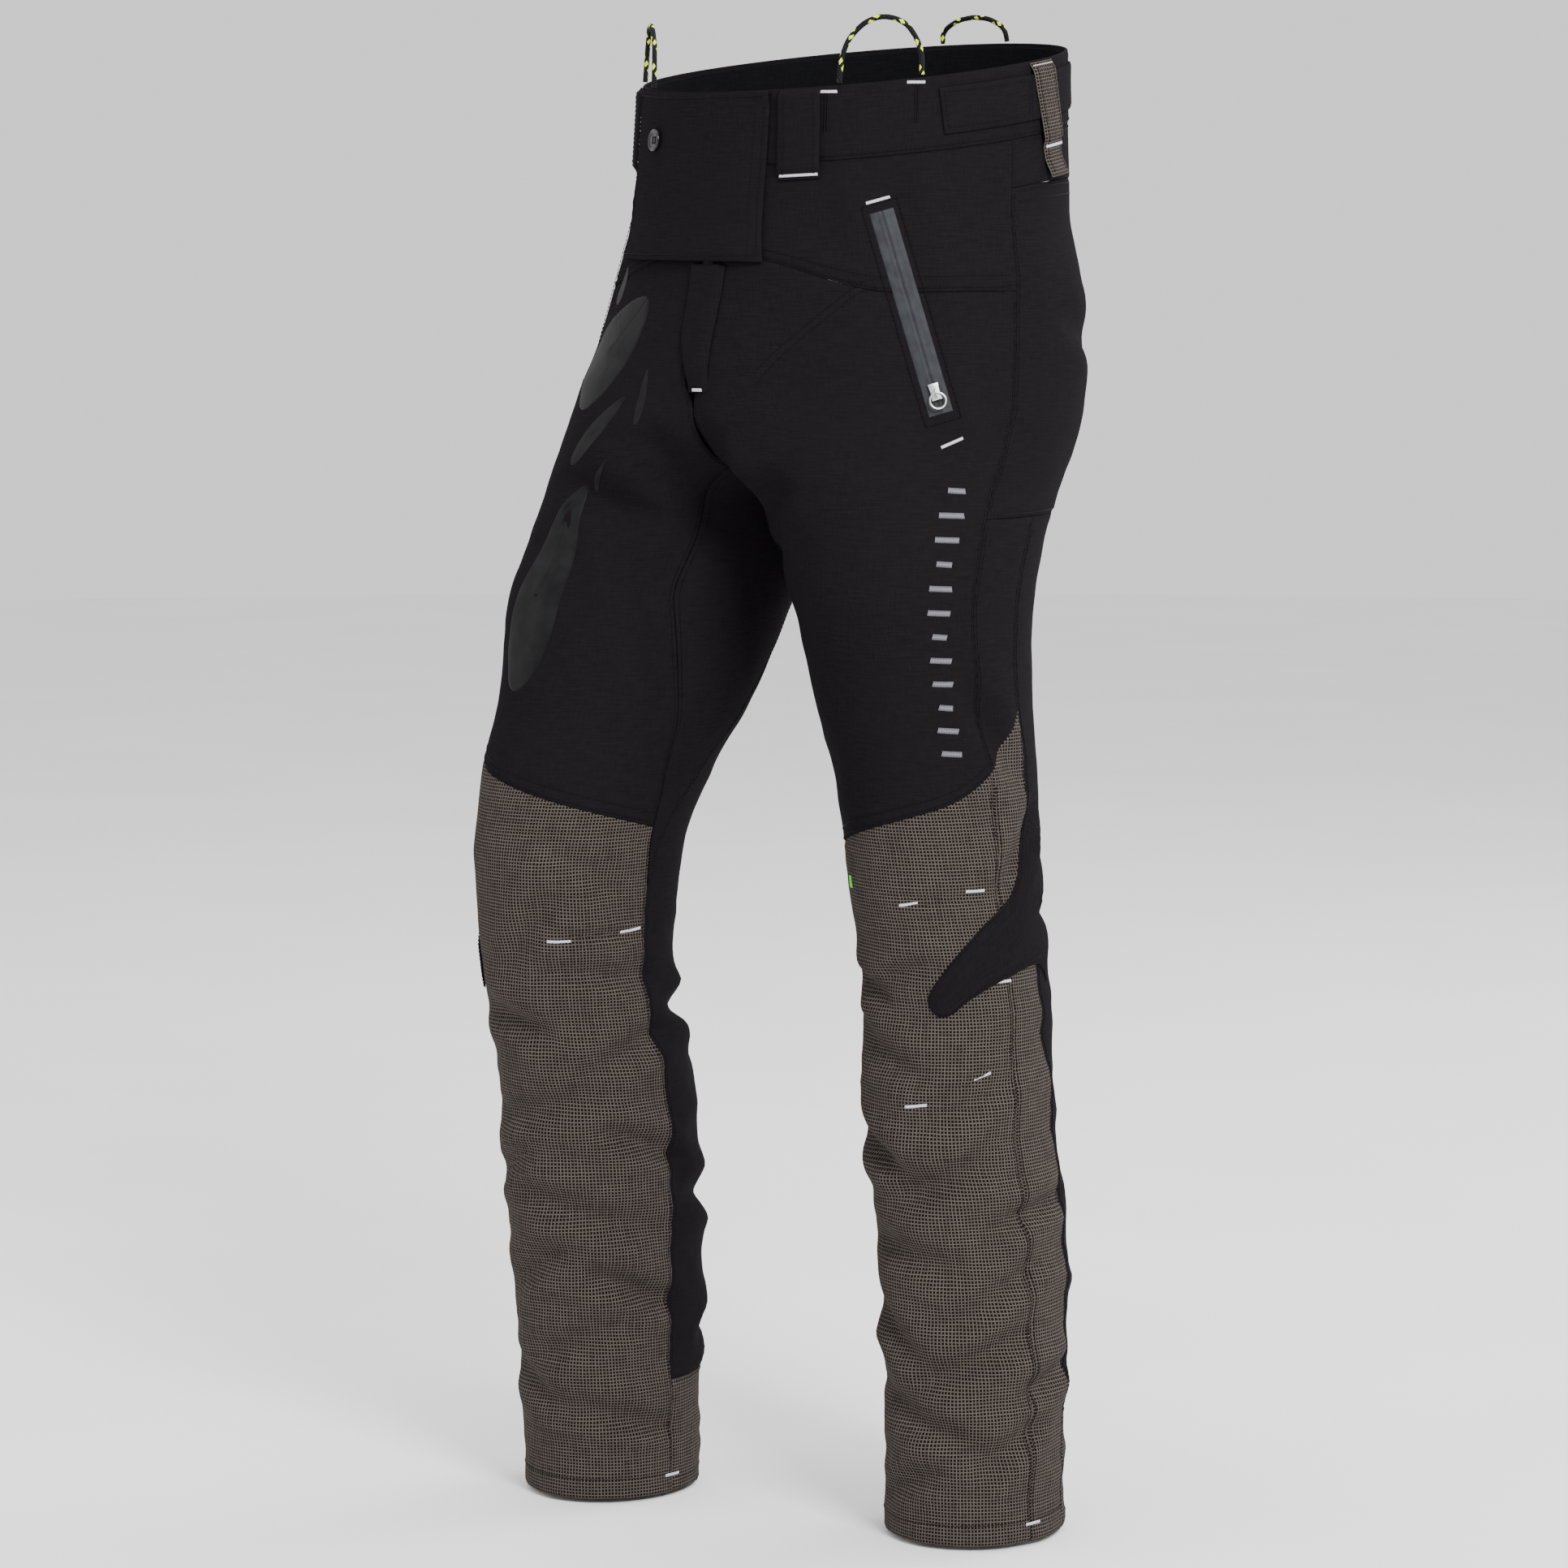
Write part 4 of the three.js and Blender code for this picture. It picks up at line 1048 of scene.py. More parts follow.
def pack_fibre():
    """Off-white knitted cut-retardant layers."""
    # low is partly painted shade in the gaps between the yarns and partly darker slub, high the yarns' tops,
    # worn the rubbed colour
    low, high, worn = (0.42, 0.40, 0.35, 1), (0.72, 0.70, 0.63, 1), (0.60, 0.58, 0.52, 1)
    return woven_cloth("pack_fibre", 0.0032, 0.0024, low, high, worn, 0.1)


def pale_floor():
    made, tree, principled, _ = start_material("pale_floor")
    patches = use_effect(tree, worn_patches(), Place=object_place(tree), Scale=3.0)
    colour = blend_colour(tree, patches["Mask"], (0.90, 0.90, 0.90, 1), (0.93, 0.93, 0.93, 1))
    finish_material(tree, principled, colour, 0.8, patches["Speckle"], 0.0002, 0.2)
    return made


FINISHES = {
    "stretch_cloth": stretch_cloth,
    "strap_cloth": strap_cloth,
    "lining_mesh": lining_cloth,
    "grid_cloth": grid_cloth,
    "black_thread": black_thread,
    "pale_thread": pale_thread,
    "grey_thread": grey_thread,
    "bright_tab": bright_tab,
    "shock_cord": shock_cord,
    "zip_tape": zip_tape,
    "printed_rubber": printed_rubber,
    "bright_metal": bright_metal,
    "button_plastic": button_resin,
    "pack_fibre": pack_fibre,
    "pale_floor": pale_floor,
}


def material(name):
    return bpy.data.materials.get(LOOK + name) or FINISHES[name]()


# ---- Panels of the two legs ---------------------------------------------------------------------
def leg_panels(name):
    """Edges (start, end, top, bottom), size, finish, body, nodes and grain angle of each leg panel."""
    knee = "knee_" + name
    knee_seam = knee_seam_of(dict(SIDES)[name])
    return {
        "front_yoke": (
            (lambda z: -angle_at(z, FLY_SLOT), SIDE_SEAM, lambda a: band_bottom(a + 90), front_yoke_seam),
            (0.25, 0.08), "stretch_cloth", "trousers", ("front_yoke",), -48,
        ),
        "front_thigh": (
            (front_edge, SIDE_SEAM, front_yoke_seam, knee_seam),
            (0.26, 0.40), "stretch_cloth", "trousers", ("front_thigh",), -70,
        ),
        "inner_gusset": (
            (lambda z: gusset_back(z) - 360, gusset_front, rise_height, GUSSET_END),
            (0.10, 0.24), "stretch_cloth", "trousers", ("inner_gusset",), -183,
        ),
        "seat": (
            (SIDE_SEAM, back_edge, back_yoke_seam, SEAT_END),
            (0.27, 0.20), "stretch_cloth", "trousers", ("seat",), 60,
        ),
        "side_thigh": (
            (SIDE_SEAM, REAR_SEAM, SEAT_END, knee_seam),
            (0.045, 0.19), "stretch_cloth", "trousers", ("side_thigh",), 8,
        ),
        "leg_back": (
            (rear_edge, gusset_back, SEAT_END, KNEE_Z - CALF_END),
            (0.18, 0.60), "stretch_cloth", knee, ("back_thigh", "knee_back", "calf_panel"), 105,
        ),
        "leg_front": (
            (gusset_front, SIDE_SEAM, knee_seam, HEM_Z),
            (0.22, 0.53), "grid_cloth", knee, ("knee_panel", "shin_panel"), -95,
        ),
        "leg_side": (
            (SIDE_SEAM, rear_edge, knee_seam, HEM_Z),
            (0.045, 0.56), "grid_cloth", knee, ("knee_side", "side_shin"), 14,
        ),
        "heel": (
            (CALF_EDGE, INSEAM, KNEE_Z - CALF_END, HEM_Z),
            (0.16, 0.13), "grid_cloth", "shin_" + name, ("heel_panel",), 105,
        ),
    }


def build_leg_cloth():
    for name, side in SIDES:
        for panel, (shape, size, finish, body, nodes, grain) in leg_panels(name).items():
            piece = shell(
                f"{panel}_{name}",
                leg_surface(side),
                lambda s, t, shape=shape: placed(shape, s, t),
                size,
                finish,
                uv=lambda angle, z, side=side, grain=grain: cloth_uv(side, angle, z, grain),
            )
            settle(piece, body, [f"{node_name}_{name}" for node_name in nodes])


# angle, and the heights of the tongue's upper and lower edges above the knee axis
TONGUE = np.array(
    [
        (36, 0.120, 0.010), (25, 0.140, 0.024), (19, 0.118, 0.025), (12, 0.094, 0.025),
        (3, 0.077, 0.023), (-8, 0.067, 0.019), (-20, 0.057, 0.014), (-34, 0.042, 0.005),
        (-46, 0.027, -0.006), (-53, 0.018, -0.007), (-57, 0.011, -0.003), (-59, 0.006, 0.003),
    ]
)


def knee_tongue(s, t):
    """The black tongue that reaches forward over the outer side of the knee."""
    run = np.linspace(0, 1, len(TONGUE))
    angle, high, low = (np.interp(s, run, TONGUE[:, k]) for k in range(3))
    return angle, KNEE_Z + mix(high, low, t)


def build_knee_tongues():
    for name, side in SIDES:
        piece = shell(
            f"knee_tongue_{name}", leg_surface(side), knee_tongue, (0.11, 0.05), "stretch_cloth",
            lift=(0.0003, 0.0015), pucker=0.0,
        )
        settle(piece, "knee_" + name)


def build_packs():
    """The protective packs behind the front of each leg, quilted in upright channels."""
    face = (-PACK_INSET - PACK_THICKNESS, -PACK_INSET)
    for name, side in SIDES:
        thigh = (lambda z: np.maximum(front_edge(z) + 10, -150), 0, -0.150, KNEE_Z + 0.052)
        shin = (-172, 0, KNEE_Z - 0.052, HEM_Z + 0.050)
        for pack, shape, size in (("thigh_pack", thigh, (0.18, 0.45)), ("shin_pack", shin, (0.20, 0.28))):
            piece = shell(
                f"{pack}_{name}",
                leg_surface(side),
                lambda s, t, shape=shape: placed(shape, s, t),
                size,
                "pack_fibre",
                lift=face,
                roll=0.0016,
                pucker=0.0,
                raised=lambda s, t: 0.0009 * np.abs(np.sin(s * 7 * math.pi)),
            )
            body = "trousers" if pack == "thigh_pack" else "shin_" + name
            settle(piece, body, (f"{pack}_{name}",))


# ---- Waist ------------------------------------------------------------------------------------
def band_piece(name, start, end, top, bottom, height, finish, lift, body="trousers", **options):
    """A strip round the waist between two trunk angles."""

    def place(s, t):
        angle = mix(start, end, s)
        return angle, mix(value(top, angle), value(bottom, angle), t)

    width = math.radians(end - start) * WAIST_RADIUS
    piece = shell(name, trunk, place, (width, height), finish, lift=lift, **options)
    return settle(piece, body, (name,))


def build_waistband():
    lift = (-CLOTH - 0.0004, 0.0006)
    finish = "stretch_cloth"

    def low(angle):
        return band_bottom(angle) + SEAM_GAP / 2

    def yoke_low(angle):
        return back_yoke_seam(np.where(angle < 180, angle, 360 - angle) - 90) + SEAM_GAP / 2

    band_piece("waistband_left", HINGE_ANGLE - 1, 180, band_top, low, BAND_HEIGHT, finish, lift)
    band_piece("waistband_right", -180, HINGE_ANGLE - 1.1, band_top, low, BAND_HEIGHT, finish, lift)
    band_piece(
        "waistband_facing", HINGE_ANGLE + 5, 340,
        lambda a: band_top(a) - 0.003, lambda a: band_bottom(a) + 0.002,
        BAND_HEIGHT, "lining_mesh", (-CLOTH - LAYER_GAP - 0.0014, -CLOTH - LAYER_GAP),
    )
    start = SIDE_SEAM + 90
    band_piece(
        "back_yoke", start, 360 - start,
        lambda a: band_bottom(a) - SEAM_GAP / 2, yoke_low,
        0.045, finish, (-CLOTH, 0),
    )


# name, angle at the top, length, lean towards the lower end, finish
LOOPS = (
    ("belt_loop_front_left", 18, 0.064, 1, "strap_cloth"),
    ("belt_loop_front_right", -40 - LOOP_WIDTH, 0.064, 0, "strap_cloth"),
    ("belt_loop_side_left", 90.5, 0.084, 9, "grid_cloth"),
    ("belt_loop_side_right", -90.5 - LOOP_WIDTH, 0.084, -9, "grid_cloth"),
    ("belt_loop_back", 180 - LOOP_WIDTH / 2, 0.064, 0, "strap_cloth"),
)


def on_loop(start, length, lean):
    """Places across and down a belt loop."""

    def place(s, t):
        angle = start + LOOP_WIDTH * s + lean * t
        return angle, band_top(angle) - mix(0.001, length, t)

    return place


def loop_rise(length):
    """How far a belt loop stands off the band between its two bar tacks, and its loose tail below them."""
    tail = 0.0035 if length > 0.07 else 0.0
    end = LOOP_TACK / length

    def rise(s, t):
        return 0.0026 * smooth(t * 12) * smooth((end - t) * 12) + tail * smooth((t - 0.82) / 0.18)

    return rise


def build_belt_loops():
    for name, start, length, lean, finish in LOOPS:
        width = math.radians(LOOP_WIDTH) * WAIST_RADIUS
        piece = shell(
            name, trunk, on_loop(start, length, lean), (width, length), finish,
            lift=(LAYER_GAP, LAYER_GAP + 0.0016), pitch=0.0028, pucker=0.0, raised=loop_rise(length),
        )
        settle(piece, "trousers", (name,))


def on_adjuster(side, start, end, slant):
    """Places across and down a tab or a strap; slant leans the tab's free end."""

    def place(s, t):
        top = band_top(mix(start, end, s)) - 0.009
        return side * mix(start + slant * t, end, s), mix(top, top - TAB_HEIGHT, t)

    return place


def build_adjusters():
    lift = (LAYER_GAP, LAYER_GAP + 0.002)
    for name, side in SIDES:
        for piece_name, start, end, slant, body in (
            ("adjuster_tab", TAB_START, TAB_END, 1.8, "adjuster_tab_" + name),
            ("adjuster_strap", TAB_END + 0.1, STRAP_END, 0.0, "trousers"),
        ):
            place = on_adjuster(side, start, end, slant)
            size = (math.radians(end - start) * WAIST_RADIUS, TAB_HEIGHT)
            piece = shell(f"{piece_name}_{name}", trunk, place, size, "strap_cloth", lift=lift, pucker=0.0001)
            settle(piece, body, (f"{piece_name}_{name}",))


def on_placket(s, t):
    """Distance from the middle plane and height over the fly placket, whose free edge curves in low down."""
    free_edge = mix(-0.011, -0.002, smooth((t - 0.5) * 2))
    return mix(free_edge, 0.020 - 0.003 * t, s), FLAP_LOW - mix(0.002, 0.092, t)


def placket_fall(s, t):
    return -0.0018 * smooth((s - 0.75) / 0.25) - 0.0016 * smooth((t - 0.8) / 0.2)


def on_fly_tape(s, t):
    return mix(-0.0115, 0.0115, s), mix(FLY_TOP - 0.002, FLY_BOTTOM + 0.002, t)


def fly_coil(s, t):
    """The zip's coil down the middle of the tape."""
    turns = 0.8 + 0.2 * np.sin(t * FLY_LENGTH / 0.0015 * math.pi)
    return 0.0008 * np.exp(-(((s - 0.5) / 0.11) ** 2)) * turns


def flap_fall(s, t):
    """How far the flap sinks towards its sewn edge."""
    return -0.0026 * smooth((s - 0.84) / 0.16) * smooth(t / 0.1)


def build_closure():
    band_piece(
        "closure_flap", HINGE_ANGLE - FLAP_WIDTH, HINGE_ANGLE,
        lambda a: band_top(a) - 0.001, FLAP_LOW,
        FLAP_DROP, "stretch_cloth", (FLAP_LIFT, FLAP_LIFT + FLAP_THICKNESS),
        body="closure_flap", raised=flap_fall,
    )
    piece = shell(
        "fly_placket", at_middle, on_placket, (0.031, 0.09), "stretch_cloth",
        lift=(0.0024, 0.0038), pitch=0.003, raised=placket_fall,
    )
    settle(piece, "trousers", ("fly_placket",))
    piece = shell(
        "fly_tape", at_middle, on_fly_tape, (0.023, 0.142), "zip_tape",
        lift=(-0.0031, -0.0022), pitch=0.0014, roll=0.0002, pucker=0.0, raised=fly_coil,
    )
    settle(piece, "trousers", ("fly_zip_tape",))


def turned(name, profile, place, finish, segments=48):
    """A disc turned from a profile of (radius, height), in its own place."""
    rows = len(profile)
    turn = np.arange(segments) * 2 * math.pi / segments
    points = [(r * math.cos(a), r * math.sin(a), h) for r, h in profile for a in turn]
    points += [(0, 0, profile[0][1]), (0, 0, profile[-1][1])]
    faces = []
    for j in range(rows - 1):
        for i in range(segments):
            k = (i + 1) % segments
            low, high = j * segments, (j + 1) * segments
            faces.append((low + i, low + k, high + k, high + i))
    for centre, ring in ((rows * segments, 0), (rows * segments + 1, rows - 1)):
        for i in range(0, segments, 2):
            a, b, c = (ring * segments + (i + step) % segments for step in range(3))
            faces.append((centre, c, b, a) if ring == 0 else (centre, a, b, c))
    piece = new_piece(name, points, faces, finish)
    piece.data.transform(place)
    return piece


# radius and height in millimetres, from the back round the rim to the middle
BUTTON_PROFILE = (
    (6.2, 0.0), (7.4, 0.5), (8.0, 1.3), (8.0, 2.2), (7.7, 2.9),
    (7.1, 3.2), (6.5, 3.0), (5.9, 2.3), (4.8, 1.9), (2.0, 1.8),
)


def build_button():
    """A rimmed resin button with four holes and its thread."""
    lift = FLAP_LIFT + FLAP_THICKNESS + 0.0003
    seat, above = trunk(-23, -0.054, lift), trunk(-23, -0.054, lift + 0.001)
    out = Vector(unit(above - seat))
    place = Matrix.Translation(Vector(seat)) @ out.to_track_quat("Z", "Y").to_matrix().to_4x4()
    profile = [(r / 1000, h / 1000) for r, h in BUTTON_PROFILE]
    disc = turned("waist_button", profile, Matrix.Identity(4), "button_plastic")
    cutters = []
    for x, y in ((2, 2), (2, -2), (-2, 2), (-2, -2)):
        middle = Matrix.Translation((x / 1000, y / 1000, 0))
        hole = turned("hole", [(0.00085, -0.001), (0.00085, 0.005)], middle, "button_plastic", 16)
        cutter = disc.modifiers.new("hole", "BOOLEAN")
        cutter.operation, cutter.solver, cutter.object = "DIFFERENCE", "EXACT", hole
        cutters.append(hole)
    solid = bpy.data.meshes.new_from_object(disc.evaluated_get(bpy.context.evaluated_depsgraph_get()))
    disc.modifiers.clear()
    disc.data = solid
    for hole in cutters:
        bpy.data.objects.remove(hole)
    disc.data.transform(place)
    settle(disc, "closure_flap", ("waist_button",))
    spots = [(2, 0.5), (2, -0.5), (-2, 0.5), (-2, -0.5), (0.5, 2), (0.5, -2), (-0.5, 2), (-0.5, -2)]
    centres = np.array([place @ Vector((x / 1000, y / 1000, 0.0019)) for x, y in spots])
    turn = place.to_3x3()
    along = np.array([turn @ Vector((0, 1, 0) if abs(x) == 2 else (1, 0, 0)) for x, _ in spots])
    facing = np.tile(np.array(out), (len(spots), 1))
    threads(
        "button_thread", centres, along, facing, 0.0042, 0.00035,
        "black_thread", "closure_flap",
    )


# ---- Pocket zips --------------------------------------------------------------------------------
TAPE_TOP = 0.0005
SLIDER_SIZE = (0.008, 0.012, 0.0024)
RING_RADIUS = 0.0056
RING_WIRE = 0.0008
# millimetres along the slider and out from the tape
STAPLE_ARCH = (
    (-1.5, 2.9), (-1.5, 5.2), (-1.2, 6.1), (-0.5, 6.45), (1, 6.5),
    (2.5, 6.45), (3.2, 6.1), (3.5, 5.2), (3.5, 2.9),
)


def at_zip(side, across, along, out):
    f = ZIPS[side]
    return (
        f["middle"]
        + f["across"] * np.asarray(across)[..., None]
        + f["along"] * np.asarray(along)[..., None]
        + f["out"] * np.asarray(out)[..., None]
    )


def zip_tape_surface(side):
    """The coated tape: two flat lips that meet over the coil, whose teeth show through as a fine line."""

    def surface(across, along, lift):
        far = np.abs(across)
        teeth = 1 + 0.35 * np.sin(along / 0.0013 * 2 * math.pi)
        crown = 0.00022 * np.exp(-(((far - 0.0018) / 0.0009) ** 2)) * teeth
        slit = -0.0005 * np.exp(-((far / 0.00035) ** 2))
        return at_zip(side, across, along, lift + np.where(lift > 0, 1.0, 0.0) * (crown + slit))

    return surface


def rounded_block(name, centre, axes, size, finish, bevel):
    """A block with rounded edges and a narrowed waist, by its centre and three directions."""
    mesh = bpy.data.meshes.new(name)
    form = bmesh.new()
    bmesh.ops.create_cube(form, size=1.0)
    bmesh.ops.subdivide_edges(form, edges=form.edges, cuts=3, use_grid_fill=True)
    for v in form.verts:
        pinch = 1 - 0.16 * (1 - (2 * v.co.y) ** 2)
        dome = 1 + 0.25 * (1 - (2 * v.co.x) ** 2) * (v.co.z > 0)
        v.co = Vector((v.co.x * size[0] * pinch, v.co.y * size[1], v.co.z * size[2] * dome))
    sharp = [e for e in form.edges if len(e.link_faces) == 2 and e.calc_face_angle() > 1.0]
    bmesh.ops.bevel(form, geom=sharp, offset=bevel, segments=3, affect="EDGES", profile=0.6)
    place = Matrix([list(a) + [0] for a in axes] + [[0, 0, 0, 1]]).transposed()
    place.translation = Vector(centre)
    bmesh.ops.transform(form, matrix=place, verts=form.verts)
    bmesh.ops.recalc_face_normals(form, faces=form.faces)
    form.to_mesh(mesh)
    form.free()
    mesh.shade_smooth()
    mesh.materials.append(material(finish))
    piece = bpy.data.objects.new(name, mesh)
    bpy.context.scene.collection.objects.link(piece)
    return piece


def build_pocket_zips():
    rest = ZIP_LENGTH / 2 - 0.016
    for name, side in SIDES:
        f = ZIPS[side]
        columns = np.array([-8.8, -8.4, -7.6, -5, -3, -2.4, -1.8, -1.2, -0.7, -0.35, 0]) / 1000
        columns = np.concatenate([columns, -columns[-2::-1]])
        rows = np.linspace(-ZIP_LENGTH / 2, ZIP_LENGTH / 2, 340)
        across, along = np.meshgrid(columns, rows)
        surface = zip_tape_surface(side)
        edge = np.minimum(ZIP_WIDTH / 2 - np.abs(across), ZIP_LENGTH / 2 - np.abs(along))
        outer = surface(across, along, TAPE_TOP - 0.00035 * np.exp(-((edge / 0.0005) ** 2)))
        inner = surface(across, along, np.full(across.shape, -0.0001))
        points = np.concatenate([outer.reshape(-1, 3), inner.reshape(-1, 3)])
        uv = np.concatenate([np.stack([across, along], -1).reshape(-1, 2)] * 2)
        piece = new_piece(f"pocket_zip_{name}", points, closed_grid(*across.shape), "zip_tape", uv)
        settle(piece, "trousers", ("pocket_zip_" + name,))
        axes = (f["across"], f["along"], f["out"])
        centre = at_zip(side, 0.0, rest, 0.0009 + SLIDER_SIZE[2] / 2)
        slider = rounded_block(
            f"pocket_slider_{name}_detail", centre, axes, SLIDER_SIZE, "bright_metal", 0.0005
        )
        settle(slider, "pocket_slider_" + name, ("pocket_slider_" + name,))
        path = np.array([at_zip(side, 0.0, rest + a / 1000, o / 1000) for a, o in STAPLE_ARCH])
        staple = tube(f"slider_staple_{name}", path, 0.00055, "bright_metal", 16)
        settle(staple, "pocket_slider_" + name)
        turn = np.arange(56) * 2 * math.pi / 56
        middle = rest + 0.001 + RING_RADIUS
        across, along = RING_RADIUS * np.cos(turn), middle + RING_RADIUS * np.sin(turn)
        path = at_zip(side, across, along, np.full(turn.shape, 0.00475))
        ring = tube(f"pull_ring_{name}", path, RING_WIRE, "bright_metal", 16, closed=True)
        settle(ring, "pull_ring_" + name, ("pull_ring_" + name,))
        bag = (-50, -10, -0.100, -0.285)
        piece = shell(
            f"pocket_bag_{name}", leg_surface(side), lambda s, t: placed(bag, s, t), (0.11, 0.185),
            "lining_mesh", lift=(-0.0086, -0.0074), pucker=0.0006,
        )
        settle(piece, "trousers", ("pocket_bag_" + name,))


# ---- Shock-cord brace loops -----------------------------------------------------------------------
FRONT_LOOP = (
    (0.0945, -0.110, -0.015), (0.095, -0.109, -0.002), (0.0965, -0.1075, 0.007), (0.099, -0.105, 0.015),
    (0.103, -0.102, 0.021), (0.1075, -0.0985, 0.026), (0.1125, -0.095, 0.029), (0.1175, -0.091, 0.0305),
    (0.1225, -0.087, 0.030), (0.1275, -0.0835, 0.028), (0.1315, -0.080, 0.0245), (0.135, -0.0775, 0.019),
    (0.138, -0.0755, 0.012), (0.140, -0.0745, 0.003), (0.141, -0.075, -0.0095),
)
BACK_LOOP = (
    (0.0325, 0.130, 0.021), (0.032, 0.129, 0.0265), (0.0295, 0.129, 0.0305), (0.0255, 0.129, 0.0335),
    (0.020, 0.129, 0.036), (0.014, 0.129, 0.038), (0.007, 0.129, 0.039), (-0.0005, 0.129, 0.0395),
    (-0.007, 0.129, 0.039), (-0.014, 0.129, 0.038), (-0.020, 0.129, 0.036), (-0.0255, 0.129, 0.0335),
    (-0.0295, 0.129, 0.0305), (-0.032, 0.129, 0.0265), (-0.0325, 0.130, 0.021),
)


def smooth_path(points, spacing):
    """A Catmull-Rom curve through the points, at even spacing."""
    points = np.asarray(points, float)
    ends = np.concatenate([2 * points[:1] - points[1:2], points, 2 * points[-1:] - points[-2:-1]])
    t = np.linspace(0, 1, 40, endpoint=False)[:, None]
    spans = []
    for a, b, c, d in zip(ends, ends[1:], ends[2:], ends[3:]):
        bend = (2 * a - 5 * b + 4 * c - d) * t**2
        twist = (3 * b - a - 3 * c + d) * t**3
        spans.append(0.5 * (2 * b + (c - a) * t + bend + twist))
    path = np.concatenate(spans + [points[-1:]])
    run = np.concatenate([[0], np.linalg.norm(np.diff(path, axis=0), axis=1).cumsum()])
    at = np.linspace(0, run[-1], max(8, round(run[-1] / spacing)))
    return np.stack([np.interp(at, run, path[:, k]) for k in range(3)], -1), run[-1]


def braid_relief(turn, run):
    """Two sets of strands that wind opposite ways round the cord."""
    one = np.sin(2 * math.pi * (BRAID_STRANDS * turn + run / BRAID_LAY))
    other = np.sin(2 * math.pi * (BRAID_STRANDS * turn - run / BRAID_LAY))
    return 1 + 0.05 * one * other


def build_brace_loops():
    mirror = np.array([-1, 1, 1])
    for name, points in (
        ("brace_loop_front_left", np.array(FRONT_LOOP)),
        ("brace_loop_front_right", np.array(FRONT_LOOP) * mirror),
        ("brace_loop_back", np.array(BACK_LOOP)),
    ):
        path, length = smooth_path(points, 0.0006)
        piece = tube(name + "_cord", path, CORD_DIAMETER / 2, "shock_cord", 36, braid_relief)
        settle(piece, "trousers", (name,))


# ---- Prints, embroidery and small marks --------------------------------------------------------------
# the angle and height of the upper point and of the lower one, and the half width
PATCHES = (
    (-55.5, -0.144, -55.0, -0.172, 0.0075),
    (-74.0, -0.166, -58.0, -0.240, 0.034),
    (-84.5, -0.236, -77.0, -0.286, 0.009),
    (-86.0, -0.216, -94.5, -0.256, 0.0026),
    (-94.5, -0.280, -98.0, -0.306, 0.0024),
    (-90.5, -0.300, -70.0, -0.450, 0.024),
)


def patch_place(patch):
    """Angles and heights over a teardrop, from its middle outward."""
    high_angle, high_z, low_angle, low_z, half_width = patch
    middle_angle, middle_z = (high_angle + low_angle) / 2, (high_z + low_z) / 2
    radius = float(section(np.float64(middle_z))[3:5].mean())
    lean = math.radians(high_angle - low_angle) * radius
    half_length = math.hypot(lean, high_z - low_z) / 2
    tilt = math.atan2(lean, high_z - low_z)

    def place(reach, turn):
        up = np.cos(turn) * half_length
        across = np.sin(turn) * half_width * (1 - 0.45 * np.cos(turn))
        x = reach * (across * math.cos(tilt) + up * math.sin(tilt))
        y = reach * (up * math.cos(tilt) - across * math.sin(tilt))
        return middle_angle + np.degrees(x / radius), middle_z + y

    return place


def build_patches():
    """Thin rubber prints on the right thigh, as one plain family of teardrops."""
    rings = np.array([0.0, 0.2, 0.4, 0.6, 0.78, 0.9, 0.97, 1.0])
    reach, turn = np.meshgrid(rings, np.linspace(0, 2 * math.pi, 65))
    for index, patch in enumerate(PATCHES):
        angle, z = patch_place(patch)(reach, turn)
        lift = 0.00034 - 0.00028 * (reach >= 1.0)
        outer = skin(-1, angle, z, lift)
        inner = skin(-1, angle, z, np.full(angle.shape, -0.0001))
        points = np.concatenate([outer.reshape(-1, 3), inner.reshape(-1, 3)])
        uv = np.concatenate([cloth_uv(-1, angle, z, -60).reshape(-1, 2)] * 2)
        piece = new_piece(f"thigh_print_{index + 1}", points, closed_grid(*angle.shape), "printed_rubber", uv)
        weld(piece)
        settle(piece, "trousers")


def weld(piece):
    form = bmesh.new()
    form.from_mesh(piece.data)
    bmesh.ops.remove_doubles(form, verts=form.verts, dist=1e-6)
    bmesh.ops.recalc_face_normals(form, faces=form.faces)
    form.to_mesh(piece.data)
    form.free()


def build_embroidery():
    """A column of plain satin-stitched bars down the left thigh."""
    surface = leg_surface(1)
    places = []
    for index in range(12):
        z = -0.298 - 0.0168 * index
        reach = 5.2 if index % 3 else 3.4
        middle = -21.5 - 0.45 * index
        places.append((surface, (middle - reach, z), (middle + reach, z - 0.001), 0.0003))
    bars("thigh_embroidery_left", places, "trousers", "grey_thread", 0.0042, 0.00032)


def zip_plane(side):
    return lambda across, along, lift: at_zip(side, across, along, np.zeros(np.shape(across)) + lift)


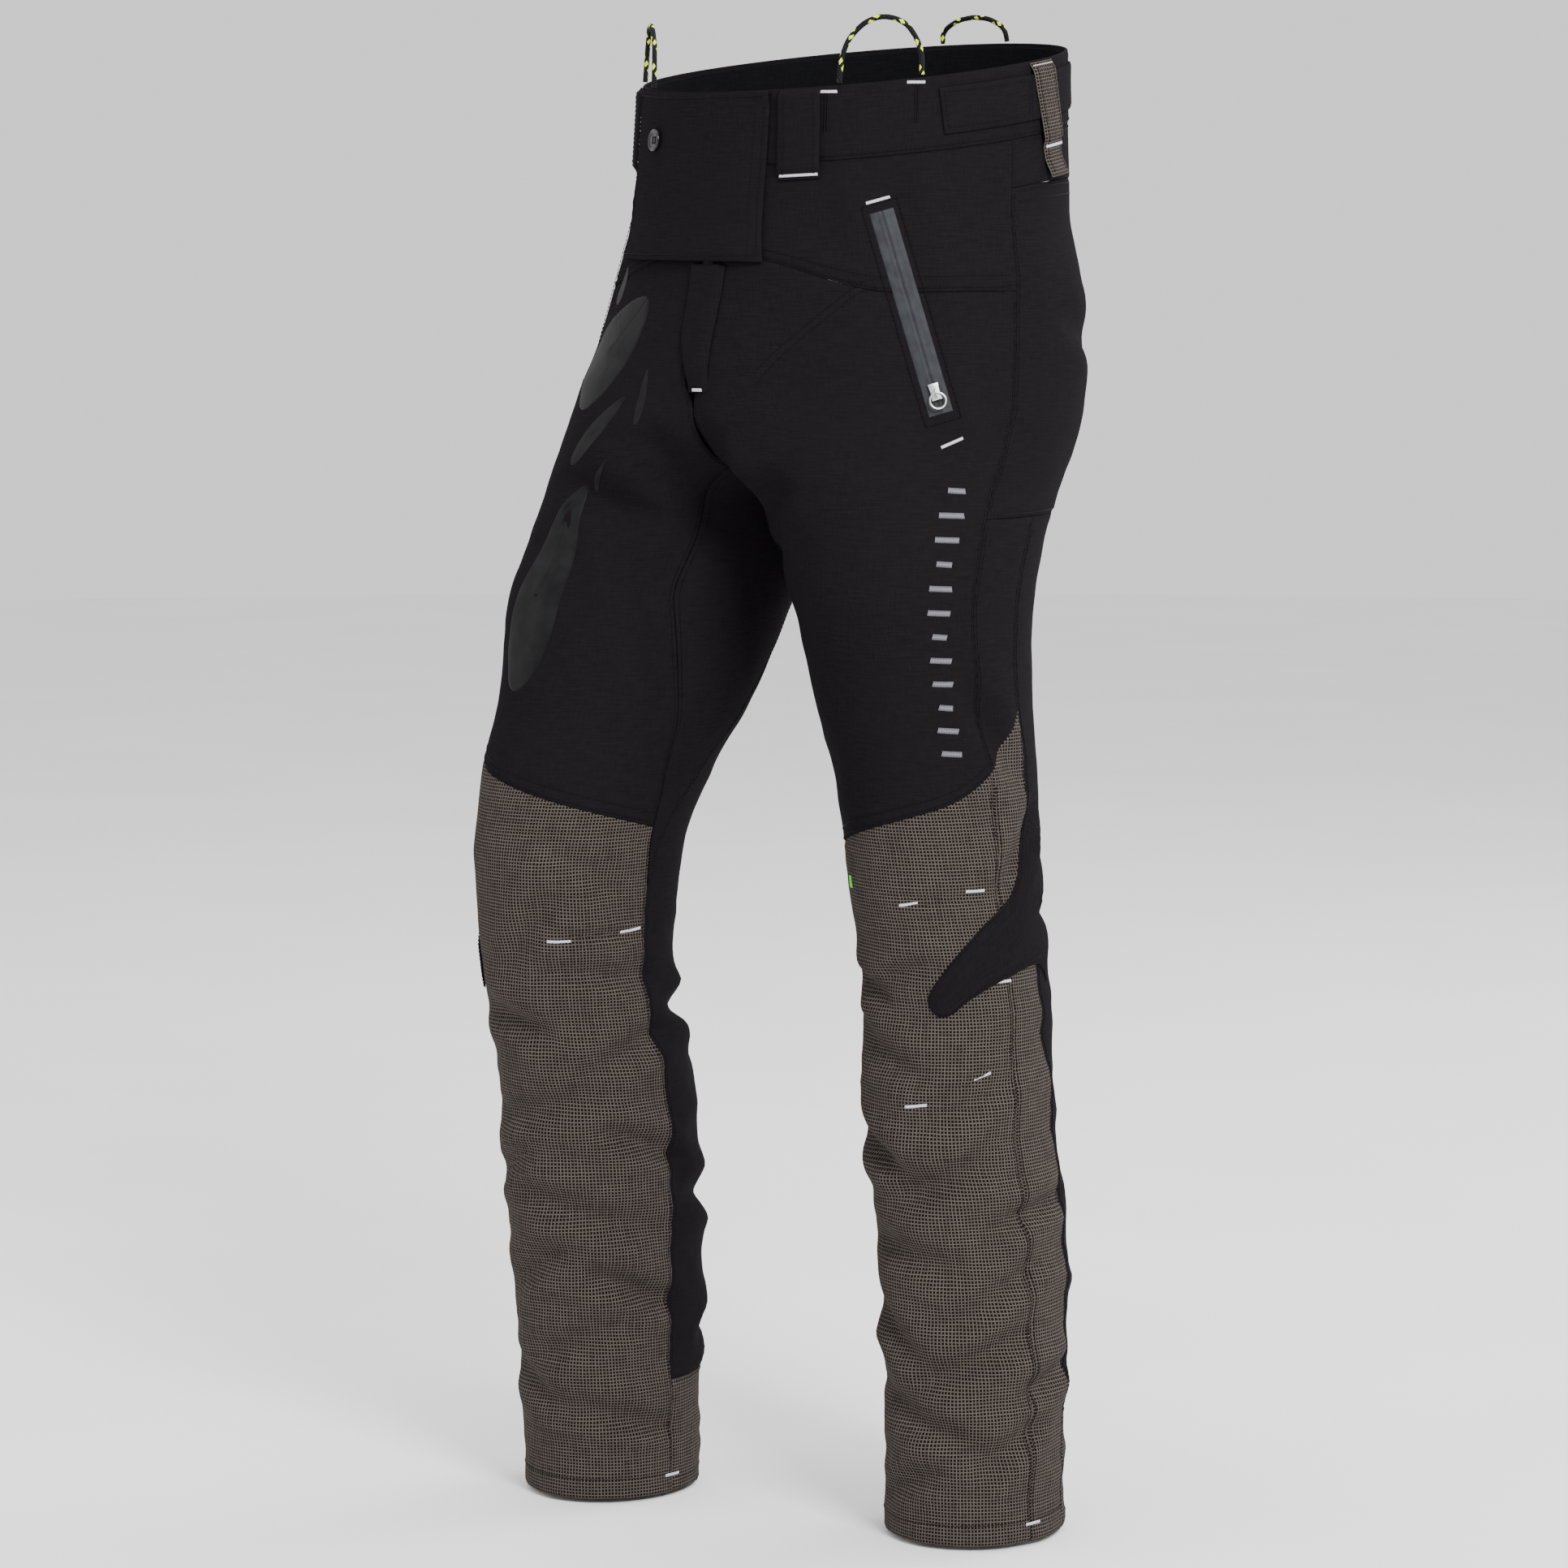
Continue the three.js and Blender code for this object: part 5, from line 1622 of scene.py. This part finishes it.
def build_stitching():
    """Topstitching beside every seam, hem and folded edge."""
    for name, side in SIDES:
        surface = leg_surface(side)
        panels = leg_panels(name)

        def row(panel, edge, distance):
            shape, size = panels[panel][:2]
            run = np.linspace(0.02, 0.98, 260)
            across = {"start": distance / size[0], "end": 1 - distance / size[0]}
            down = {"top": distance / size[1], "bottom": 1 - distance / size[1]}
            s = np.full(run.shape, across[edge]) if edge in across else run
            t = np.full(run.shape, down[edge]) if edge in down else run
            return (surface, *placed(shape, s, t), 0.0001)

        black = [
            row("front_yoke", "bottom", 0.0022), row("front_yoke", "bottom", 0.0085),
            row("front_thigh", "end", 0.0022), row("front_thigh", "bottom", 0.0024),
            row("front_thigh", "bottom", 0.0090), row("front_thigh", "start", 0.0030),
            row("inner_gusset", "start", 0.0022), row("inner_gusset", "end", 0.0022),
            row("seat", "top", 0.0024), row("seat", "top", 0.0088), row("seat", "end", 0.0026),
            row("seat", "start", 0.0024), row("seat", "bottom", 0.0024),
            row("side_thigh", "end", 0.0022), row("side_thigh", "start", 0.0022),
        ]
        for offset in (0.0, 0.0062):
            scoop = np.array([(-44, -0.150), (-50, -0.154), (-62.5, -0.180), (-73, -0.202), (-80.5, -0.218)])
            run = np.linspace(0, len(scoop) - 1, 120)
            angle, z = (np.interp(run, np.arange(len(scoop)), scoop[:, k]) for k in range(2))
            black.append((surface, angle, z - offset, 0.0001))
        frame_stitch = [(-13, -80), (13, -80), (13, 80), (-13, 80), (-13, -80)]
        for start, end in zip(frame_stitch, frame_stitch[1:]):
            x, y = (mix(start[k], end[k], np.linspace(0, 1, 90)) / 1000 for k in range(2))
            black.append((zip_plane(side), x, y, 0.0008))
        stitch_rows(f"upper_stitching_{name}", black, "trousers")
        knee = [
            row("leg_front", "end", 0.0024), row("leg_front", "start", 0.0024),
            row("leg_front", "bottom", HEM_STITCH), row("leg_side", "bottom", HEM_STITCH),
            row("leg_side", "start", 0.0024), row("leg_side", "end", 0.0024),
            row("leg_back", "start", 0.0024), row("leg_back", "end", 0.0024),
        ]
        high = np.stack([np.linspace(0.08, 0.97, 120), np.full(120, 0.05)])
        tip = np.stack([np.full(40, 0.975), np.linspace(0.05, 0.95, 40)])
        low = np.stack([np.linspace(0.97, 0.08, 120), np.full(120, 0.95)])
        knee.append((surface, *knee_tongue(*np.concatenate([high, tip, low], 1)), 0.0016))
        stitch_rows(f"leg_stitching_{name}", knee, "knee_" + name)
        heel = [row("heel", "bottom", HEM_STITCH), row("heel", "top", 0.0024)]
        stitch_rows(f"heel_stitching_{name}", heel, "shin_" + name)
    build_waist_stitching()


def build_waist_stitching():
    run = np.linspace(0, 1, 300)
    band = mix(HINGE_ANGLE + 2, 358 + HINGE_ANGLE - 55, run)
    yoke = mix(86, 274, run)
    rows = [
        (trunk, band, band_bottom(band) + 0.0028, 0.0008),
        (trunk, yoke, band_bottom(yoke) - 0.0026, 0.0001),
    ]
    for name, start, length, lean, _ in LOOPS:
        rise = loop_rise(length)
        for share in (0.14, 0.86):
            down = mix(0.04, 0.96, run)
            lift = LAYER_GAP + 0.0017 + rise(share, down)
            rows.append((trunk, *on_loop(start, length, lean)(share, down), lift))
    stitch_rows("waist_stitching", rows, "trousers")
    for name, side in SIDES:
        lift = LAYER_GAP + 0.0021
        ring = (
            (TAB_START + 1.4, 0.0125), (TAB_END - 1.2, 0.0125), (TAB_END - 1.2, 0.0375),
            (TAB_START + 2.9, 0.0375), (TAB_START + 1.4, 0.0125),
        )
        around = []
        for (a, low), (b, high) in zip(ring, ring[1:]):
            share = np.linspace(0, 1, 60)
            angle = mix(a, b, share)
            around.append((trunk, side * angle, band_top(angle) - mix(low, high, share), lift))
        stitch_rows(f"tab_stitching_{name}", around, "adjuster_tab_" + name)
    high = FLAP_LIFT + FLAP_THICKNESS + 0.0001
    flap_start = HINGE_ANGLE - FLAP_WIDTH
    low_run = mix(flap_start + 1.2, HINGE_ANGLE - 1, run)
    drop = -0.0026 * smooth((mix(0.02, 0.98, run) - 0.84) / 0.16)
    flap = [
        (trunk, low_run, np.full(run.shape, FLAP_LOW + 0.0035), high + drop),
        (trunk, low_run, band_top(low_run) - 0.0045, high),
    ]
    for edge, inset, lower in (
        (flap_start, 1.2, 0.0),
        (HINGE_ANGLE, -1.2, 0.0024),
        (HINGE_ANGLE, -3.6, 0.0017),
    ):
        down = mix(band_top(edge) - 0.0045, FLAP_LOW + 0.0035, run)
        flap.append((trunk, np.full(run.shape, edge + inset), down, high - lower))
    stitch_rows("flap_stitching", flap, "closure_flap")


def build_bar_tacks():
    """Pale bar tacks at the ends of loops, zips, darts and the fly, and the bright loop tab."""
    waist = []
    for name, start, length, lean, _ in LOOPS:
        for depth, lift in ((0.0028, 0.0026), (min(length, LOOP_TACK) - 0.0008, 0.0028)):
            place = on_loop(start, length, lean)
            ends = [tuple(float(k) for k in place(share, depth / length)) for share in (0.05, 0.95)]
            waist.append((trunk, *ends, lift))
    for angle, depth in ((30.8, 0.004), (53.8, 0.003)):
        for side in (1, -1):
            z = float(band_top(angle)) - depth
            waist.append((trunk, (side * (angle - 2.4), z), (side * (angle + 2.4), z), 0.0008))
    placket_end = FLAP_LOW - 0.090
    waist.append((at_middle, (0.004, placket_end), (0.014, placket_end), 0.0024))
    for side in (1, -1):
        surface = leg_surface(side)
        waist.append((surface, (-48.0, -0.0990), (-42.0, -0.0940), 0.0002))
        waist.append((surface, (-29.0, -0.2680), (-22.5, -0.2620), 0.0002))
    bars("waist_bar_tacks", waist, "trousers")
    darts = {
        "left": (
            ((-68.5, -0.592), (-57, -0.590)), ((-27.5, -0.582), (-16, -0.582)),
            ((-17, -0.648), (-5, -0.648)), ((-73.5, -0.736), (-60.5, -0.734)),
            ((-32.5, -0.716), (-22.5, -0.712)),
        ),
        "right": (((-122, -0.628), (-135.5, -0.628)), ((-165.5, -0.624), (-179, -0.622))),
    }
    for name, side in SIDES:
        surface = leg_surface(side)
        places = [(surface, start, end, 0.0002) for start, end in darts[name]]
        bars(f"knee_bar_tacks_{name}", places, "knee_" + name)
        height = HEM_Z + HEM_TACK
        hem = [(surface, (start, height), (start + 12, height), 0.0002) for start in (-10, INSEAM - 366)]
        bars(f"hem_bar_tacks_{name}", hem, "shin_" + name)
    holes = []
    for side in (1, -1):
        for angle in (30.5, 54.0):
            top = float(band_top(angle))
            for step in (-0.35, 0.35):
                place = side * (angle + step)
                holes.append((trunk, (place, top - 0.006), (place, top - 0.031), 0.0008))
    bars("brace_buttonholes", holes, "trousers", "black_thread", 0.0012, 0.00034)
    tab = ((-113.5, -0.580), (-110.5, -0.580))
    bars("seam_tab_left", [(leg_surface(1), *tab, 0.0004)], "knee_left", "bright_tab", 0.009, 0.0004)


# ---- Stage ----------------------------------------------------------------------------------------
def build_stage():
    scene = bpy.context.scene
    camera = bpy.data.objects.new("camera", bpy.data.cameras.new("camera"))
    scene.collection.objects.link(camera)
    azimuth, distance = math.radians(45.2), 3.65
    aim = Vector((-0.0354, -0.0356, -0.525))
    camera.location = aim + Vector((math.sin(azimuth) * distance, -math.cos(azimuth) * distance, 0.415))
    camera.rotation_euler = (aim - camera.location).to_track_quat("-Z", "Y").to_euler()
    camera.data.lens = 114.0
    camera.data.clip_end = 60
    scene.camera = camera
    turn = np.linspace(0, 2 * math.pi, 65)[:-1]
    level, radius = HEM_Z - 0.0035, 9
    points = [(radius * math.cos(a), radius * math.sin(a), level) for a in turn] + [(0, 0, level)]
    mesh = bpy.data.meshes.new("floor")
    mesh.from_pydata(points, [], [(i, (i + 1) % 64, 64) for i in range(64)])
    mesh.materials.append(material("pale_floor"))
    floor = bpy.data.objects.new("floor", mesh)
    scene.collection.objects.link(floor)
    world = bpy.data.worlds.new("studio")
    scene.world = world
    world.use_nodes = True
    world.node_tree.nodes["Background"].inputs["Color"].default_value = (1, 1, 1, 1)
    world.node_tree.nodes["Background"].inputs["Strength"].default_value = 1.1
    for name, place, power, size in (
        ("key", (3.2, -1.2, 1.9), 210, 1.2),
        ("fill", (-2.6, -2.2, 0.6), 30, 2.2),
        ("rim", (0.6, 3.2, 1.4), 90, 2.0),
        ("top", (0.0, 0.0, 2.6), 50, 2.4),
    ):
        light = bpy.data.lights.new(name, "AREA")
        light.energy, light.size = power, size
        lamp = bpy.data.objects.new(name, light)
        lamp.location = place
        lamp.rotation_euler = (Vector((0, -0.06, -0.5)) - Vector(place)).to_track_quat("-Z", "Y").to_euler()
        scene.collection.objects.link(lamp)


# ---- The add-on -----------------------------------------------------------------------------------
class TrouserSizes(bpy.types.PropertyGroup):
    """Sizes a user may change."""

    grid_pitch: bpy.props.FloatProperty(
        name="Grid pitch", description="Spacing of the light threads in the lower legs' cloth",
        default=0.00245, min=0.001, max=0.006, precision=5, unit="LENGTH",
    )


class TrouserColours(bpy.types.PropertyGroup):
    """Colours a user may change."""

    cloth: bpy.props.FloatVectorProperty(
        name="Cloth", description="The black stretch cloth",
        subtype="COLOR", size=3, default=(0.0048, 0.0040, 0.0050), min=0, max=1,
    )
    grid_thread: bpy.props.FloatVectorProperty(
        name="Grid thread", description="The light threads of the lower legs",
        subtype="COLOR", size=3, default=(0.098, 0.081, 0.071), min=0, max=1,
    )
    grid_ground: bpy.props.FloatVectorProperty(
        name="Grid ground", description="The dark ground between the light threads",
        subtype="COLOR", size=3, default=(0.0056, 0.0045, 0.0046), min=0, max=1,
    )
    tracer: bpy.props.FloatVectorProperty(
        name="Tracer", description="The bright tracers in the shock cord",
        subtype="COLOR", size=3, default=(0.62, 0.80, 0.02), min=0, max=1,
    )


class TROUSERS_OT_stage(bpy.types.Operator):
    """Makes the camera, the lights and the floor"""

    bl_idname = "trousers.stage"
    bl_label = "Stage"
    bl_options = {"REGISTER", "UNDO"}

    def execute(self, context):
        build_stage()
        return {"FINISHED"}


class TROUSERS_OT_brace_loops(bpy.types.Operator):
    """Makes the three shock-cord loops on the waistband"""

    bl_idname = "trousers.brace_loops"
    bl_label = "Brace loops"
    bl_options = {"REGISTER", "UNDO"}

    def execute(self, context):
        build_brace_loops()
        return {"FINISHED"}


class TROUSERS_OT_leg_cloth(bpy.types.Operator):
    """Makes the sewn cloth panels of both legs"""

    bl_idname = "trousers.leg_cloth"
    bl_label = "Leg cloth"
    bl_options = {"REGISTER", "UNDO"}

    def execute(self, context):
        build_leg_cloth()
        return {"FINISHED"}


class TROUSERS_OT_knee_tongues(bpy.types.Operator):
    """Makes the black tongues over the knees"""

    bl_idname = "trousers.knee_tongues"
    bl_label = "Knee tongues"
    bl_options = {"REGISTER", "UNDO"}

    def execute(self, context):
        build_knee_tongues()
        return {"FINISHED"}


class TROUSERS_OT_packs(bpy.types.Operator):
    """Makes the protective packs inside the legs"""

    bl_idname = "trousers.packs"
    bl_label = "Packs"
    bl_options = {"REGISTER", "UNDO"}

    def execute(self, context):
        build_packs()
        return {"FINISHED"}


class TROUSERS_OT_waistband(bpy.types.Operator):
    """Makes the waistband, its facing and the back yoke"""

    bl_idname = "trousers.waistband"
    bl_label = "Waistband"
    bl_options = {"REGISTER", "UNDO"}

    def execute(self, context):
        build_waistband()
        return {"FINISHED"}


class TROUSERS_OT_belt_loops(bpy.types.Operator):
    """Makes the five belt loops"""

    bl_idname = "trousers.belt_loops"
    bl_label = "Belt loops"
    bl_options = {"REGISTER", "UNDO"}

    def execute(self, context):
        build_belt_loops()
        return {"FINISHED"}


class TROUSERS_OT_adjusters(bpy.types.Operator):
    """Makes the waist adjusters"""

    bl_idname = "trousers.adjusters"
    bl_label = "Adjusters"
    bl_options = {"REGISTER", "UNDO"}

    def execute(self, context):
        build_adjusters()
        return {"FINISHED"}


class TROUSERS_OT_closure(bpy.types.Operator):
    """Makes the closure flap, the placket and the fly tape"""

    bl_idname = "trousers.closure"
    bl_label = "Closure"
    bl_options = {"REGISTER", "UNDO"}

    def execute(self, context):
        build_closure()
        return {"FINISHED"}


class TROUSERS_OT_button(bpy.types.Operator):
    """Makes the waist button and its thread"""

    bl_idname = "trousers.button"
    bl_label = "Button"
    bl_options = {"REGISTER", "UNDO"}

    def execute(self, context):
        build_button()
        return {"FINISHED"}


class TROUSERS_OT_pocket_zips(bpy.types.Operator):
    """Makes the pocket zips, sliders, rings and pocket bags"""

    bl_idname = "trousers.pocket_zips"
    bl_label = "Pocket zips"
    bl_options = {"REGISTER", "UNDO"}

    def execute(self, context):
        build_pocket_zips()
        return {"FINISHED"}


class TROUSERS_OT_prints(bpy.types.Operator):
    """Makes the rubber prints on the right thigh"""

    bl_idname = "trousers.prints"
    bl_label = "Prints"
    bl_options = {"REGISTER", "UNDO"}

    def execute(self, context):
        build_patches()
        return {"FINISHED"}


class TROUSERS_OT_embroidery(bpy.types.Operator):
    """Makes the embroidered bars on the left thigh"""

    bl_idname = "trousers.embroidery"
    bl_label = "Embroidery"
    bl_options = {"REGISTER", "UNDO"}

    def execute(self, context):
        build_embroidery()
        return {"FINISHED"}


class TROUSERS_OT_stitching(bpy.types.Operator):
    """Makes the topstitching"""

    bl_idname = "trousers.stitching"
    bl_label = "Stitching"
    bl_options = {"REGISTER", "UNDO"}

    def execute(self, context):
        build_stitching()
        return {"FINISHED"}


class TROUSERS_OT_bar_tacks(bpy.types.Operator):
    """Makes the bar tacks, the buttonholes and the bright tab"""

    bl_idname = "trousers.bar_tacks"
    bl_label = "Bar tacks"
    bl_options = {"REGISTER", "UNDO"}

    def execute(self, context):
        build_bar_tacks()
        return {"FINISHED"}


OPERATORS = (
    TROUSERS_OT_stage,
    TROUSERS_OT_brace_loops,
    TROUSERS_OT_leg_cloth,
    TROUSERS_OT_knee_tongues,
    TROUSERS_OT_packs,
    TROUSERS_OT_waistband,
    TROUSERS_OT_belt_loops,
    TROUSERS_OT_adjusters,
    TROUSERS_OT_closure,
    TROUSERS_OT_button,
    TROUSERS_OT_pocket_zips,
    TROUSERS_OT_prints,
    TROUSERS_OT_embroidery,
    TROUSERS_OT_stitching,
    TROUSERS_OT_bar_tacks,
)


class TROUSERS_PT_panel(bpy.types.Panel):
    """Sizes, colours and the steps that build the trousers."""

    bl_idname = "TROUSERS_PT_panel"
    bl_label = "Trousers"
    bl_space_type = "VIEW_3D"
    bl_region_type = "UI"
    bl_category = "Trousers"

    def draw(self, context):
        for group in (context.scene.trouser_sizes, context.scene.trouser_colours):
            for key in group.__annotations__:
                self.layout.prop(group, key)
        for step in OPERATORS:
            self.layout.operator(step.bl_idname)


CLASSES = (TrouserSizes, TrouserColours, *OPERATORS, TROUSERS_PT_panel)


def register():
    for item in CLASSES:
        bpy.utils.register_class(item)
    bpy.types.Scene.trouser_sizes = bpy.props.PointerProperty(type=TrouserSizes)
    bpy.types.Scene.trouser_colours = bpy.props.PointerProperty(type=TrouserColours)


def unregister():
    del bpy.types.Scene.trouser_sizes
    del bpy.types.Scene.trouser_colours
    for item in reversed(CLASSES):
        bpy.utils.unregister_class(item)


def main():
    register()
    fly_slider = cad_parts["fly_zip_slider"]
    fly_slider.data.materials.clear()
    fly_slider.data.materials.append(material("bright_metal"))
    for step in OPERATORS:
        getattr(bpy.ops.trousers, step.bl_idname.split(".")[1])()


if __name__ == "__main__":
    main()
